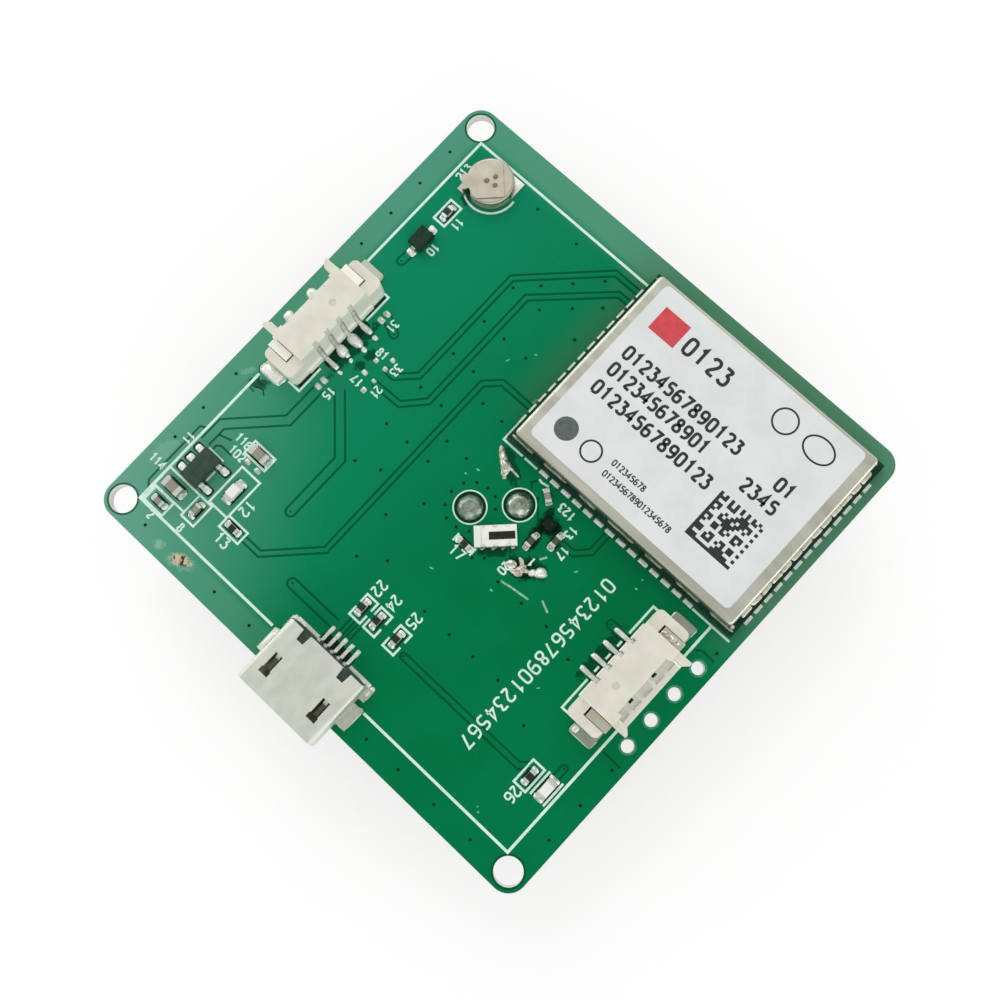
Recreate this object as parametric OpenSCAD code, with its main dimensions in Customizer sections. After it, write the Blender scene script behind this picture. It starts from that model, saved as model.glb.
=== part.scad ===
// Square satellite positioning board with its receiver on one side and a patch antenna on the other.
// Sizes are in millimetres. +Z points out of the component side, and z = 0 is the antenna's outer face.

/* [Board] */
// Side of the square circuit board
board_side = 43; // [43:0.5:60]
// Thickness of the circuit board
board_t = 1; // [0.6:0.1:2]
// Radius of the board's corners
corner_r = 1.5; // [0.6:0.1:2.5]
// Distance from a fixing hole's centre to its two edges
hole_inset = 1.5; // [1.5:0.1:3]
// Diameter of a fixing hole
hole_d = 2.2; // [1.6:0.1:2.4]

/* [Header] */
// Number of plated holes in the unfilled header row
header_count = 4; // [2:1:5]
// Distance between two header holes
header_pitch = 2.54; // [2:0.02:2.6]
// Diameter of a header hole
header_d = 1; // [0.8:0.1:1.2]
// Distance from the header row to the right edge
header_inset = 1.15; // [1:0.05:1.3]

/* [Antenna] */
// How far the lower ceramic tile stays inside the board's edges
lower_margin = 2.5; // [1.5:0.1:5]
// Thickness of the lower tile
lower_t = 4; // [2:0.5:6]
// How far the lower silver patch stays inside its tile
lower_patch_margin = 3; // [1:0.1:5]
// How far the upper ceramic tile stays inside the lower patch
upper_margin = 2; // [1:0.1:5]
// Thickness of the upper tile
upper_t = 4; // [2:0.5:6]
// How far the upper silver patch stays inside its tile
upper_patch_margin = 2.5; // [1:0.1:5]
// Depth of a silver patch, which is level with its tile
patch_t = 0.1; // [0.05:0.05:0.3]
// Radius of a tile's corners
tile_corner_r = 0.6; // [0.2:0.1:1.5]
// Thickness of the tape between the board and the lower tile
board_tape_t = 0.3; // [0.1:0.1:1]
// Thickness of the tape between the two tiles
tile_tape_t = 0.1; // [0.1:0.05:0.5]
// How far a tape stays inside the smaller face it joins
tape_margin = 0.5; // [0.2:0.1:2]

/* [Antenna feed] */
// Distance from the antenna's centre to each feed pin
feed_offset = 2.62; // [2:0.05:3]
// Diameter of a feed pin
pin_d = 0.9; // [0.6:0.1:1]
// Clearance around a feed pin
pin_clearance = 0.06; // [0.02:0.02:0.2]
// How far a feed pin stands above the board
pin_tip = 0.62; // [0.4:0.02:1]
// Diameter of the solder dome around a pin
dome_d = 1.96; // [1.6:0.02:2.1]
// Height of the solder dome
dome_h = 0.5; // [0.3:0.02:0.6]

/* [Receiver] */
// Distance from the antenna's centre to the receiver's left side
receiver_left = 1.45; // [0:0.05:3]
// Distance from the antenna's centre to the receiver's lower side
receiver_low = 3.1; // [3:0.05:5]
// Thickness of the receiver's substrate
substrate_t = 0.8; // [0.5:0.1:1.2]
// Gap between the receiver and the right edge of the board
receiver_gap_right = 0.95; // [0.6:0.05:1.5]
// Gap between the receiver and the top edge of the board
receiver_gap_top = 1.4; // [1:0.05:1.8]
// How far the shield stands in from the long ends of the substrate
shield_margin_x = 0.5; // [0.3:0.05:0.8]
// How far the shield stands in from the long sides of the substrate
shield_margin_y = 0.38; // [0.3:0.02:0.8]
// Height of the shield
shield_h = 1.6; // [1.4:0.1:2.4]
// Sheet thickness of the shield
shield_sheet = 0.2; // [0.1:0.05:0.3]
// Radius of the shield's upper edges
shield_edge_r = 0.3; // [0.25:0.05:0.6]
// Radius of the shield's upright corners
shield_corner_r = 0.35; // [0.3:0.05:0.8]
// How far the shield stands off the middle of the substrate
shield_shift = [-0.1, 0]; // [-0.15:0.01:0.15]
// How far the label stays inside the shield at its two ends
label_margin_x = 0.9; // [0.6:0.05:3]
// How far the label stays inside the shield along its two sides
label_margin_y = 0.52; // [0.48:0.02:3]
// How far the label lies off the shield's centre
label_shift = [-0.03, 0.2]; // [-0.2:0.01:0.2]
// Thickness of the label
label_t = 0.06; // [0.04:0.01:0.1]
// Radius of the label's corners
label_r = 0.45; // [0.3:0.05:1.5]
// Distance between two solder lands
land_pitch = 1.1; // [1:0.05:1.2]
// Width of a solder land
land_w = 0.8; // [0.6:0.05:0.9]
// Length of a solder land
land_l = 1.5; // [1:0.1:2]
// How far a land reaches out past the substrate
land_reach = 0.3; // [0.1:0.05:0.35]
// Height of the solder between land and substrate
land_t = 0.1; // [0.06:0.02:0.2]
// Smallest distance from the middle of a long side's end land to the receiver's corner
land_margin_long = 3.8; // [1.2:0.1:6]
// Smallest distance from the middle of a short side's end land to the receiver's corner
land_margin_short = 1.8; // [1.2:0.1:6]
// Side of the square positioning chip under the shield
chip_side = 7; // [5:0.1:8]
// Height of the positioning chip
chip_h = 0.9; // [0.5:0.05:1]
// Size of the memory chip under the shield
memory_size = [3, 2, 0.6]; // [0.4:0.1:4]
// Size of the crystal oscillator under the shield
oscillator_size = [2, 1.6, 0.7]; // [0.4:0.1:4]
// Size of one signal filter under the shield
filter_size = [1.4, 1.1, 0.6]; // [0.4:0.1:3]

/* [Backup cell] */
// Diameter of the cell
cell_d = 3.8; // [3:0.1:4]
// Height of the cell's can
cell_h = 1.1; // [0.8:0.1:1.6]
// Radius of the can's upper edge
cell_edge_r = 0.2; // [0.1:0.05:0.4]
// Thickness of the two terminal strips
tab_t = 0.12; // [0.08:0.02:0.2]
// Width of the two strips
tab_w = 2.84; // [2:0.02:3]
// How far the upper strip reaches past the cell's centre
tab_reach = 1.08; // [0.6:0.02:1.2]
// Gap between the can and the strip that comes down beside it
tab_gap = 0.15; // [0.1:0.05:0.4]
// How far each strip's pointed foot reaches past the can
tab_foot = 0.75; // [0.7:0.05:1]

/* [Coupler] */
// Length, width and height of the hybrid coupler
coupler_size = [3.2, 1.6, 0.6]; // [0.5:0.1:4]
// Distance from the antenna's centre to the coupler's centre
coupler_offset = 4.14; // [4.1:0.02:4.4]
// Distance between two terminals of the coupler
coupler_pitch = 0.95; // [0.8:0.05:1.05]
// Radius of a coupler terminal
coupler_terminal_r = 0.2; // [0.15:0.01:0.25]

/* [Small chips] */
// Length, width and height of a small resistor
resistor_size = [1, 0.5, 0.36]; // [0.2:0.02:1.2]
// Length, width and height of a small capacitor
small_cap_size = [1, 0.5, 0.5]; // [0.2:0.02:1.2]
// Length, width and height of a large capacitor
large_cap_size = [1.6, 0.8, 0.8]; // [0.4:0.05:2]
// Share of a chip's length that each metal end covers
chip_end_share = 0.24; // [0.15:0.01:0.35]
// How far a chip's metal ends stand proud of its body
chip_end_proud = 0.02; // [0.01:0.01:0.04]
// Length, width and height of a light-emitting diode
led_size = [1.6, 0.8, 0.6]; // [0.4:0.05:2]
// Thickness of the diode's base plate
led_base_t = 0.25; // [0.15:0.05:0.4]
// Length of the clear block on the base plate
led_lens_l = 1.05; // [0.8:0.05:1.2]
// Side and height of the low-noise amplifier
amplifier_size = [1, 0.9, 0.4]; // [0.3:0.05:1.2]

/* [Regulator] */
// Length, width and height of the regulator's case
regulator_size = [2.9, 1.6, 1.1]; // [0.8:0.05:3.2]
// Span across the tips of the regulator's leads
regulator_span = 2.9; // [2.6:0.05:3.2]
// Distance between two regulator leads
regulator_pitch = 0.95; // [0.8:0.01:1]
// Width of a regulator lead
regulator_lead_w = 0.42; // [0.3:0.02:0.5]
// Thickness of a regulator lead
regulator_lead_t = 0.15; // [0.1:0.01:0.2]

/* [Diode] */
// Length, width and height of the diode's case
diode_size = [1.75, 1.3, 0.95]; // [0.6:0.05:2]
// Span across the tips of the diode's leads
diode_span = 2.55; // [2.3:0.05:2.8]
// Width of a diode lead
diode_lead_w = 0.35; // [0.25:0.05:0.6]
// Thickness of a diode lead
diode_lead_t = 0.12; // [0.08:0.01:0.2]
// How far a moulded case tapers from its lead line to its top and bottom
case_taper = 0.07; // [0.03:0.01:0.1]

/* [Sockets] */
// Number of contacts in a socket
socket_ways = 4; // [2:1:4]
// Distance between two contacts
socket_pitch = 1.25; // [1.2:0.01:1.3]
// Width of the middle block past its outer contacts, on each side
socket_shoulder = 1.63; // [1.5:0.01:1.8]
// Height of the middle block
socket_h = 3.4; // [3:0.1:4]
// Depth of the roof over the mouth
roof_d = 2.7; // [2.2:0.1:3]
// Depth of the floor under the mouth
floor_d = 4; // [3.6:0.1:4.2]
// Depth from the rear to the tips of the two guide arms
arm_d = 4.25; // [4.2:0.05:4.6]
// Width of an arm at its tip
arm_tip_w = 0.25; // [0.15:0.05:0.4]
// Thickness of an arm
arm_t = 0.66; // [0.5:0.02:0.8]
// Height of the roof's front edge and of the arms' lower face below the top
brow_h = 0.88; // [0.8:0.02:1]
// Height of the cheeks at the middle of the mouth
cheek_h = 1.1; // [0.9:0.05:1.3]
// Diameter and depth of the round mould mark in the roof
mould_mark = [0.6, 0.05]; // [0.03:0.01:0.8]
// Place of that mark in front of the rear wall and off the middle
mould_mark_place = [1.38, -1.28]; // [-1.5:0.01:1.6]
// How far the roof steps forward beside each arm
roof_step_d = 0.36; // [0.2:0.02:0.5]
// Width of that step
roof_step_w = 0.95; // [0.8:0.05:1.2]
// Wall at the sides of the mouth
socket_wall = 0.65; // [0.5:0.05:0.8]
// Thickness of the roof and floor
socket_skin = 0.55; // [0.4:0.05:0.7]
// Depth of the shallow pocket in the floor
pocket_h = 0.2; // [0.1:0.05:0.3]
// Depth of the lip in front of the pocket
lip_d = 0.45; // [0.3:0.05:0.6]
// Depth and width of the two windows in the pocket
window_size = [0.25, 0.42]; // [0.15:0.01:0.6]
// Depth and height of the ledge along the foot of the rear wall
ledge_size = [0.1, 0.7]; // [0.05:0.05:1]
// Thickness of the rear wall
rear_wall = 0.9; // [0.8:0.05:1.1]
// Height of the two ears
ear_h = 2.4; // [2.2:0.1:2.8]
// Width of an ear
ear_w = 1.54; // [1.4:0.02:1.8]
// Depth of an ear
ear_d = 2.9; // [2.7:0.05:3.1]
// Radius of an ear's outer corners
ear_r = 0.45; // [0.2:0.05:0.6]
// Width of the slot between an ear and the middle block
slot_w = 0.8; // [0.5:0.05:0.9]
// Length of that slot
slot_l = 1.85; // [1.7:0.05:1.95]
// Clearance between socket pieces
socket_clearance = 0.05; // [0.03:0.01:0.1]
// Width of a contact
contact_w = 0.34; // [0.25:0.01:0.4]
// Thickness of a contact's strip
contact_t = 0.2; // [0.15:0.01:0.25]
// Height of a contact's pin above the board
contact_pin_z = 1.7; // [1.5:0.05:1.9]
// Length of a contact's tail behind the housing
contact_tail = 1.2; // [0.8:0.05:1.4]
// How far a contact's pin ends behind the floor's edge
contact_pin_set_back = 0.5; // [0.3:0.1:1]
// Height of an anchor's blade above the board
anchor_h = 2.4; // [1.8:0.1:2.6]
// Depth of an anchor's foot
anchor_l = 2; // [1.7:0.1:2.1]
// How far an anchor's blade starts in front of its foot's rear edge
blade_set_back = 0.1; // [0.1:0.05:0.4]
// Length of an anchor's blade
blade_l = 1.9; // [1.2:0.1:1.9]
// Thickness of an anchor's foot
anchor_t = 0.2; // [0.15:0.01:0.25]
// How far an anchor's foot reaches past its ear
anchor_reach = 0.8; // [0.5:0.05:1]

/* [USB socket] */
// Width of the shell
usb_w = 7.44; // [7.2:0.02:7.6]
// Height of the shell
usb_h = 2.6; // [2.4:0.05:2.8]
// Length of the shell
usb_l = 5.6; // [5:0.1:6]
// How far the shell stands past the board's edge
usb_overhang = 1.5; // [0.5:0.1:2]
// Sheet thickness of the shell
usb_sheet = 0.25; // [0.2:0.01:0.3]
// Radius of the shell's upper edges
usb_edge_r = 0.45; // [0.35:0.05:0.6]
// Width and height of the slope at the shell's lower edges
usb_slope = [0.75, 0.85]; // [0.5:0.05:1]
// Half distance between the two slots in the roof
usb_slot_x = 2.4; // [2.2:0.05:2.6]
// Width and length of a slot in the roof
usb_slot_size = [0.68, 1.8]; // [0.5:0.02:2]
// Distance from the mouth to the roof slots
usb_slot_y = 1.3; // [1:0.1:1.8]
// Width and length of the wider front end of a roof slot
usb_slot_end = [0.84, 0.45]; // [0.4:0.02:1]
// How far the spring in each roof slot dips below the roof
usb_spring_dip = 0.45; // [0.3:0.05:0.6]
// Length over which that spring bends down
usb_spring_bend = 0.4; // [0.3:0.05:0.6]
// Half distance between the two notches at the rear of the roof
usb_notch_x = 2; // [1.8:0.05:2.2]
// Width and length of a notch
usb_notch_size = [0.78, 0.85]; // [0.7:0.01:1.2]
// Width of a notch at its inner end
usb_notch_end_w = 0.6; // [0.4:0.02:0.7]
// How far the side feet reach past the shell
usb_foot_reach = 0.8; // [0.5:0.05:1]
// Length of a side foot
usb_foot_l = 2; // [1.5:0.1:2.2]
// Distance from the rear of the shell to the side feet
usb_foot_y = 1.55; // [1.4:0.05:1.8]
// Inner and outer distance of the rear lip from the centre line
usb_lip_x = [1.6, 3.7]; // [1.5:0.05:3.7]
// How far the rear lip stands behind the shell
usb_lip_d = 0.25; // [0.15:0.05:0.4]
// Length of a rear foot
usb_rear_foot_l = 1.1; // [0.8:0.1:1.2]
// How far a rear foot reaches past the shell
usb_rear_foot_reach = 0.42; // [0.3:0.02:0.6]
// Clearance between the pieces of the USB socket
usb_clearance = 0.04; // [0.02:0.01:0.08]
// Depth of the insulator's rear block
usb_block_d = 1.4; // [1:0.1:1.8]
// Width of the insulator's tongue
usb_tongue_w = 3.7; // [3.5:0.05:4]
// Thickness of the tongue
usb_tongue_t = 0.6; // [0.5:0.05:0.7]
// Height of the tongue's lower face
usb_tongue_z = 1.2; // [1.1:0.05:1.3]
// How far the tongue ends inside the mouth
usb_tongue_set_back = 0.9; // [0.6:0.1:1.5]
// Number of USB contacts
usb_ways = 5; // [5:1:5]
// Distance between two USB contacts
usb_pitch = 0.65; // [0.6:0.01:0.68]
// Width of a USB contact
usb_contact_w = 0.27; // [0.2:0.01:0.35]
// Thickness of a USB contact
usb_contact_t = 0.15; // [0.1:0.01:0.2]
// Length of a USB contact's tail behind the shell
usb_tail = 1.4; // [0.8:0.1:1.6]

/* [Places, measured from the edges named] */
// Backup cell from the left and top edges
cell_place = [5.45, 4.55]; // [0:0.05:21]
// Cell resistor from the left and top edges
cell_resistor_place = [4.4, 8.35]; // [0:0.05:21]
// Diode from the left and top edges
diode_place = [4.45, 11.35]; // [0:0.05:21]
// Regulator from the left and bottom edges
regulator_place = [4.47, 7.3]; // [0:0.05:21]
// Input capacitor from the left and bottom edges
input_cap_place = [3.85, 4.8]; // [0:0.05:21]
// Output capacitor from the left and bottom edges
output_cap_place = [7.05, 11]; // [0:0.05:21]
// Left bypass capacitor from the left and bottom edges
bypass_left_place = [3.75, 3.25]; // [0:0.05:21]
// Right bypass capacitor from the left and bottom edges
bypass_right_place = [6.35, 4.7]; // [0:0.05:21]
// Power light from the left and bottom edges
power_led_place = [7.5, 7.65]; // [0:0.05:21]
// Power light's resistor from the left and bottom edges
power_resistor_place = [9.4, 5.6]; // [0:0.05:21]
// Status light from the right and bottom edges
status_led_place = [3.4, 7.6]; // [0:0.05:21]
// Status light's resistor from the right and bottom edges
status_resistor_place = [4.9, 7.45]; // [0:0.05:21]
// Left, middle and right USB resistors from the USB socket's centre line
usb_resistor_x = [-0.75, 0.75, 2.75]; // [-4:0.05:4]
// Distance from the USB contacts' tails to the middle of the USB resistors
usb_resistor_gap = 2.5; // [1.6:0.05:4]
// Rear of the left socket from the left edge
left_socket_rear = 5.3; // [4.9:0.05:6]
// Middle of the left socket from the board's centre
left_socket_y = 0.25; // [-1:0.05:1]
// Rear of the right socket from the right edge
right_socket_rear = 6.13; // [6:0.01:6.6]
// Middle of the right socket and header row from the board's centre
right_socket_y = -3.87; // [-5:0.01:-3.8]
// Termination resistor from the antenna's centre
termination_place = [1.6, -4.95]; // [-6:0.05:6]
// Amplifier from the antenna's centre
amplifier_place = [5.3, 0.38]; // [-6:0.05:6]
// First signal capacitor from the antenna's centre
rf_cap_a_place = [5.12, -1.42]; // [-6:0.05:7]
// Second signal capacitor from the antenna's centre
rf_cap_b_place = [6.5, -0.2]; // [-6:0.05:7]
// Third signal capacitor, refitted by hand, from the antenna's centre
rf_cap_c_place = [3.75, 1.88]; // [-6:0.05:7]
// Turn of the third signal capacitor
rf_cap_c_turn = -36; // [-60:1:0]

/* [Hidden] */
$fn = 48;
eps = 0.01;
half = board_side / 2;

// Levels from the antenna's outer face up
upper_top = upper_t;
lower_bottom = upper_top + tile_tape_t;
lower_top = lower_bottom + lower_t;
board_bottom = lower_top + board_tape_t;
board_top = board_bottom + board_t;

// Antenna sizes from the board inwards
lower_side = board_side - 2 * lower_margin;
lower_patch_side = lower_side - 2 * lower_patch_margin;
upper_side = lower_patch_side - 2 * upper_margin;
upper_patch_side = upper_side - 2 * upper_patch_margin;

// Receiver's size, centre and levels: it fills the corner between its gaps and the antenna feed
receiver_w = half - receiver_gap_right + receiver_left;
receiver_d = half - receiver_gap_top - receiver_low;
receiver_x = half - receiver_gap_right - receiver_w / 2;
receiver_y = half - receiver_gap_top - receiver_d / 2;
lands_long = floor((receiver_w - 2 * land_margin_long) / land_pitch) + 1;
lands_short = floor((receiver_d - 2 * land_margin_short) / land_pitch) + 1;
substrate_z = board_top + land_t;
shield_z = substrate_z + substrate_t;
shield_w = receiver_w - 2 * shield_margin_x;
shield_d = receiver_d - 2 * shield_margin_y;
label_w = shield_w - 2 * label_margin_x;
label_d = shield_d - 2 * label_margin_y;

// Feed pins stand on two axes of the antenna, a quarter turn apart
feed_places = [[0, -feed_offset], [feed_offset, 0]];

// Socket sizes that follow from its contacts
socket_row = (socket_ways - 1) * socket_pitch;
socket_w = socket_row + 2 * socket_shoulder;
groove_w = contact_w + 2 * socket_clearance;
groove_d = contact_t + 2 * socket_clearance;
slot_x = ear_d - slot_l;

// Shares of a gull-wing lead's length and thickness that its foot and the slant of its bends take
lead_foot_share = 0.45;
lead_bend_share = 0.4;

// USB socket levels and places; the rate is how far its sloping walls move as the section is drawn in
usb_slope_rate = 0.45;
usb_rear_y = -half - usb_overhang + usb_l;
usb_row = (usb_ways - 1) * usb_pitch;
usb_resistor_y = usb_rear_y + usb_tail + usb_resistor_gap;

// Places from the named edges
function from_left_top(p) = [-half + p.x, half - p.y, board_top];
function from_left_bottom(p) = [-half + p.x, -half + p.y, board_top];
function from_right_bottom(p) = [half - p.x, -half + p.y, board_top];
function from_centre(p) = [p.x, p.y, board_top];

// Flat plate with round corners, centred, standing on z = 0
module rounded_plate(w, d, r, t) {
    linear_extrude(t) {
        square([w - 2 * r, d], center = true);
        square([w, d - 2 * r], center = true);
        for (sx = [-1, 1], sy = [-1, 1])
            translate([sx * (w / 2 - r), sy * (d / 2 - r)])
                circle(r);
    }
}

// Box centred in plan, standing on z = 0
module block(size) {
    translate([-size.x / 2, -size.y / 2, 0])
        cube(size);
}

// Outline in the x-z plane carried across a width along y, centred
module carried_profile(width, points) {
    translate([0, width / 2, 0])
        rotate([90, 0, 0])
            linear_extrude(width)
                polygon(points);
}

// Chip part with a metal end on each short side, lying along x
module end_capped_chip(size) {
    cap = size.x * chip_end_share;
    block([size.x - cap, size.y - 2 * chip_end_proud, size.z - chip_end_proud]);
    for (side = [-1, 1])
        translate([side * (size.x - cap) / 2, 0, 0])
            block([cap, size.y, size.z]);
}

// Light-emitting diode lying along x: base plate, metal ends and clear block
module led_chip() {
    block([led_size.x - 2 * chip_end_proud, led_size.y - 2 * chip_end_proud, led_base_t]);
    for (side = [-1, 1])
        translate([side * led_size.x * (1 - chip_end_share) / 2, 0, 0])
            block([led_size.x * chip_end_share, led_size.y, led_base_t + chip_end_proud]);
    carried_profile(led_size.y - 2 * chip_end_proud, [
        [-led_lens_l / 2, led_base_t - eps],
        [led_lens_l / 2, led_base_t - eps],
        [led_lens_l / 2 - case_taper, led_size.z],
        [-led_lens_l / 2 + case_taper, led_size.z]]);
}

// Moulded case lying along x, tapering up and down from its lead line
module moulded_case(size, lift) {
    function taper(w) = [
        [-w / 2 + case_taper, 0], [w / 2 - case_taper, 0],
        [w / 2, (size.z - lift) / 2],
        [w / 2 - case_taper, size.z - lift], [-w / 2 + case_taper, size.z - lift],
        [-w / 2, (size.z - lift) / 2]];
    translate([0, 0, lift])
        intersection() {
            carried_profile(size.y, taper(size.x));
            rotate([0, 0, 90])
                carried_profile(size.x, taper(size.y));
        }
}

// Gull-wing lead along +x, from the case's side at height z down to the board
module gull_lead(inner, tip, z, width, t) {
    foot = (tip - inner) * lead_foot_share;
    slant = t * lead_bend_share;
    carried_profile(width, [
        [inner, z], [inner, z + t],
        [tip - foot - t, z + t], [tip - foot + slant, t],
        [tip, t], [tip, 0],
        [tip - foot - slant, 0], [tip - foot - t - slant, z]]);
}

// Circuit board
module circuit_board() {
    color([0.02, 0.45, 0.3])
        translate([0, 0, board_bottom])
            difference() {
                rounded_plate(board_side, board_side, corner_r, board_t);
                for (place = [[-1, 1], [-1, -1], [1, -1]])
                    translate([place.x, place.y, 0] * (half - hole_inset) + [0, 0, -eps])
                        cylinder(d = hole_d, h = board_t + 2 * eps);
                for (i = [0:header_count - 1])
                    translate([half - header_inset, header_y(i), -eps])
                        cylinder(d = header_d, h = board_t + 2 * eps);
                feed_holes(-eps, board_t + eps);
            }
}

function header_y(i) = right_socket_y + (i - (header_count - 1) / 2) * header_pitch;

// Clearance holes for the two feed pins between two heights
module feed_holes(low, high) {
    for (place = feed_places)
        translate([place.x, place.y, low])
            cylinder(d = pin_d + 2 * pin_clearance, h = high - low);
}

// One ceramic tile with a recess for its patch in the lower face
module antenna_tile(side, t, patch_side) {
    difference() {
        rounded_plate(side, side, tile_corner_r, t);
        translate([0, 0, -eps])
            block([patch_side, patch_side, patch_t + eps]);
        feed_holes(-eps, t + eps);
    }
}

// Silver patch that fills a tile's recess
module antenna_patch(side) {
    difference() {
        block([side, side, patch_t]);
        feed_holes(-eps, patch_t + eps);
    }
}

module antenna_upper_patch() {
    color([0.8, 0.8, 0.78])
        antenna_patch(upper_patch_side);
}

module antenna_upper_tile() {
    color([0.78, 0.74, 0.66])
        antenna_tile(upper_side, upper_t, upper_patch_side);
}

module antenna_lower_patch() {
    color([0.8, 0.8, 0.78])
        translate([0, 0, lower_bottom])
            antenna_patch(lower_patch_side);
}

module antenna_lower_tile() {
    color([0.78, 0.74, 0.66])
        translate([0, 0, lower_bottom])
            antenna_tile(lower_side, lower_t, lower_patch_side);
}

// Two double-sided tapes that hold the stack together
module antenna_tapes() {
    upper_tape_side = upper_side - 2 * tape_margin;
    lower_tape_side = lower_side - 2 * tape_margin;
    color([0.9, 0.9, 0.88]) {
        difference() {
            translate([0, 0, upper_top])
                block([upper_tape_side, upper_tape_side, tile_tape_t]);
            feed_holes(upper_top - eps, lower_bottom + eps);
        }
        difference() {
            translate([0, 0, lower_top])
                block([lower_tape_side, lower_tape_side, board_tape_t]);
            feed_holes(lower_top - eps, board_bottom + eps);
        }
    }
}

// Feed pins run from the outer patch through the whole stack
module antenna_feed_pins() {
    color([0.75, 0.72, 0.62])
        for (place = feed_places)
            translate([place.x, place.y, 0])
                cylinder(d = pin_d, h = board_top + pin_tip);
}

// Solder dome around each pin, part of a sphere
module feed_solder_domes() {
    ball_r = (pow(dome_d / 2, 2) + pow(dome_h, 2)) / (2 * dome_h);
    color([0.62, 0.66, 0.64])
        for (place = feed_places)
            translate([place.x, place.y, board_top])
                difference() {
                    translate([0, 0, dome_h - ball_r])
                        sphere(ball_r);
                    translate([-ball_r, -ball_r, -2 * ball_r])
                        cube(2 * ball_r);
                    translate([0, 0, -eps])
                        cylinder(d = pin_d, h = dome_h + 2 * eps);
                }
}

// Moves to the receiver's centre at a height
module at_receiver(z) {
    translate([receiver_x, receiver_y, z])
        children();
}

// Row of solder lands along x, at the low side of the receiver
module land_row(count, depth) {
    for (i = [0:count - 1])
        translate([(i - (count - 1) / 2) * land_pitch, -depth / 2 - land_reach + land_l / 2, 0])
            block([land_w, land_l, land_t]);
}

module receiver_lands() {
    color([0.8, 0.82, 0.8])
        at_receiver(board_top)
            for (turn = [0, 180]) {
                rotate([0, 0, turn])
                    land_row(lands_long, receiver_d);
                rotate([0, 0, turn + 90])
                    land_row(lands_short, receiver_w);
            }
}

module receiver_substrate() {
    color([0.05, 0.35, 0.22])
        at_receiver(substrate_z)
            block([receiver_w, receiver_d, substrate_t]);
}

// Solid drawn can with round edges, standing on z = 0
module drawn_can(w, d, h, corner, edge) {
    bend = min(edge, corner - eps);
    hull()
        for (sx = [-1, 1], sy = [-1, 1])
            translate([sx * (w / 2 - corner), sy * (d / 2 - corner), 0])
                rotate_extrude($fn = 32) {
                    square([corner - bend, h]);
                    square([corner, h - bend]);
                    translate([corner - bend, h - bend])
                        intersection() {
                            circle(bend);
                            square(bend);
                        }
                }
}

module receiver_shield() {
    color([0.69, 0.66, 0.6])
        at_receiver(shield_z)
            translate(shield_shift)
                difference() {
                    drawn_can(shield_w, shield_d, shield_h, shield_corner_r, shield_edge_r);
                    translate([0, 0, -eps])
                        drawn_can(shield_w - 2 * shield_sheet, shield_d - 2 * shield_sheet,
                            shield_h - shield_sheet + eps, shield_corner_r - shield_sheet,
                            shield_edge_r - shield_sheet);
                }
}

module receiver_label() {
    color([0.9, 0.91, 0.92])
        at_receiver(shield_z + shield_h)
            translate(shield_shift + label_shift)
                rounded_plate(label_w, label_d, label_r, label_t);
}

module receiver_chip() {
    color([0.12, 0.12, 0.13])
        at_receiver(shield_z)
            block([chip_side, chip_side, chip_h]);
}

// Places under the shield, midway between the chip's side and the shield's end
module beside_chip(side) {
    at_receiver(shield_z)
        translate([side * (chip_side + shield_w) / 4, 0, 0])
            children();
}

module receiver_memory() {
    color([0.12, 0.12, 0.13])
        beside_chip(-1)
            translate([0, shield_d / 6, 0])
                block(memory_size);
}

module receiver_oscillator() {
    color([0.7, 0.68, 0.6])
        beside_chip(1)
            translate([0, shield_d / 6, 0])
                block(oscillator_size);
}

module receiver_filters() {
    color([0.75, 0.72, 0.62])
        for (side = [-1, 1])
            beside_chip(side)
                translate([0, -shield_d / 6, 0])
                    block(filter_size);
}

// Backup cell, standing on its base strip
module backup_cell() {
    color([0.76, 0.72, 0.65])
        translate(from_left_top(cell_place) + [0, 0, tab_t])
            rotate_extrude() {
                square([cell_d / 2 - cell_edge_r, cell_h]);
                square([cell_d / 2, cell_h - cell_edge_r]);
                translate([cell_d / 2 - cell_edge_r, cell_h - cell_edge_r])
                    intersection() {
                        circle(cell_edge_r);
                        square(cell_edge_r);
                    }
            }
}

// Strip along x in plan whose far end is a square corner pointing along +x
module pointed_strip(near, tip, w, t) {
    linear_extrude(t)
        polygon([[near, -w / 2], [tip - w / 2, -w / 2], [tip, 0], [tip - w / 2, w / 2], [near, w / 2]]);
}

// The two strips lie on a diagonal of the board: the upper one comes down at the lower left
module on_cell_diagonal(turn) {
    translate(from_left_top(cell_place))
        rotate([0, 0, turn])
            children();
}

// Upper strip: a plate trimmed to the can's round top, and a narrow leg that comes down beside the can
module backup_cell_top_strip() {
    strip_z = tab_t + cell_h;
    drop_x = cell_d / 2 + tab_gap;
    leg_w = min(tab_w, 2 * (tab_foot - tab_gap));
    color([0.77, 0.73, 0.66])
        on_cell_diagonal(225) {
            translate([0, 0, strip_z])
                intersection() {
                    cylinder(d = cell_d - cell_edge_r, h = tab_t);
                    translate([-tab_reach, -tab_w / 2, 0])
                        cube([tab_reach + cell_d / 2, tab_w, tab_t]);
                }
            translate([0, -leg_w / 2, strip_z])
                cube([drop_x + tab_t, leg_w, tab_t]);
            translate([drop_x, -leg_w / 2, 0])
                cube([tab_t, leg_w, strip_z + tab_t]);
            pointed_strip(drop_x, cell_d / 2 + tab_foot, leg_w, tab_t);
        }
}

module backup_cell_base_strip() {
    color([0.77, 0.74, 0.67])
        on_cell_diagonal(45)
            pointed_strip(-tab_reach, cell_d / 2 + tab_foot, tab_w, tab_t);
}

// The coupler lies across the diagonal between the two feed pins
module at_coupler() {
    translate([coupler_offset * cos(45), -coupler_offset * sin(45), board_top])
        rotate([0, 0, 45])
            children();
}

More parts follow.
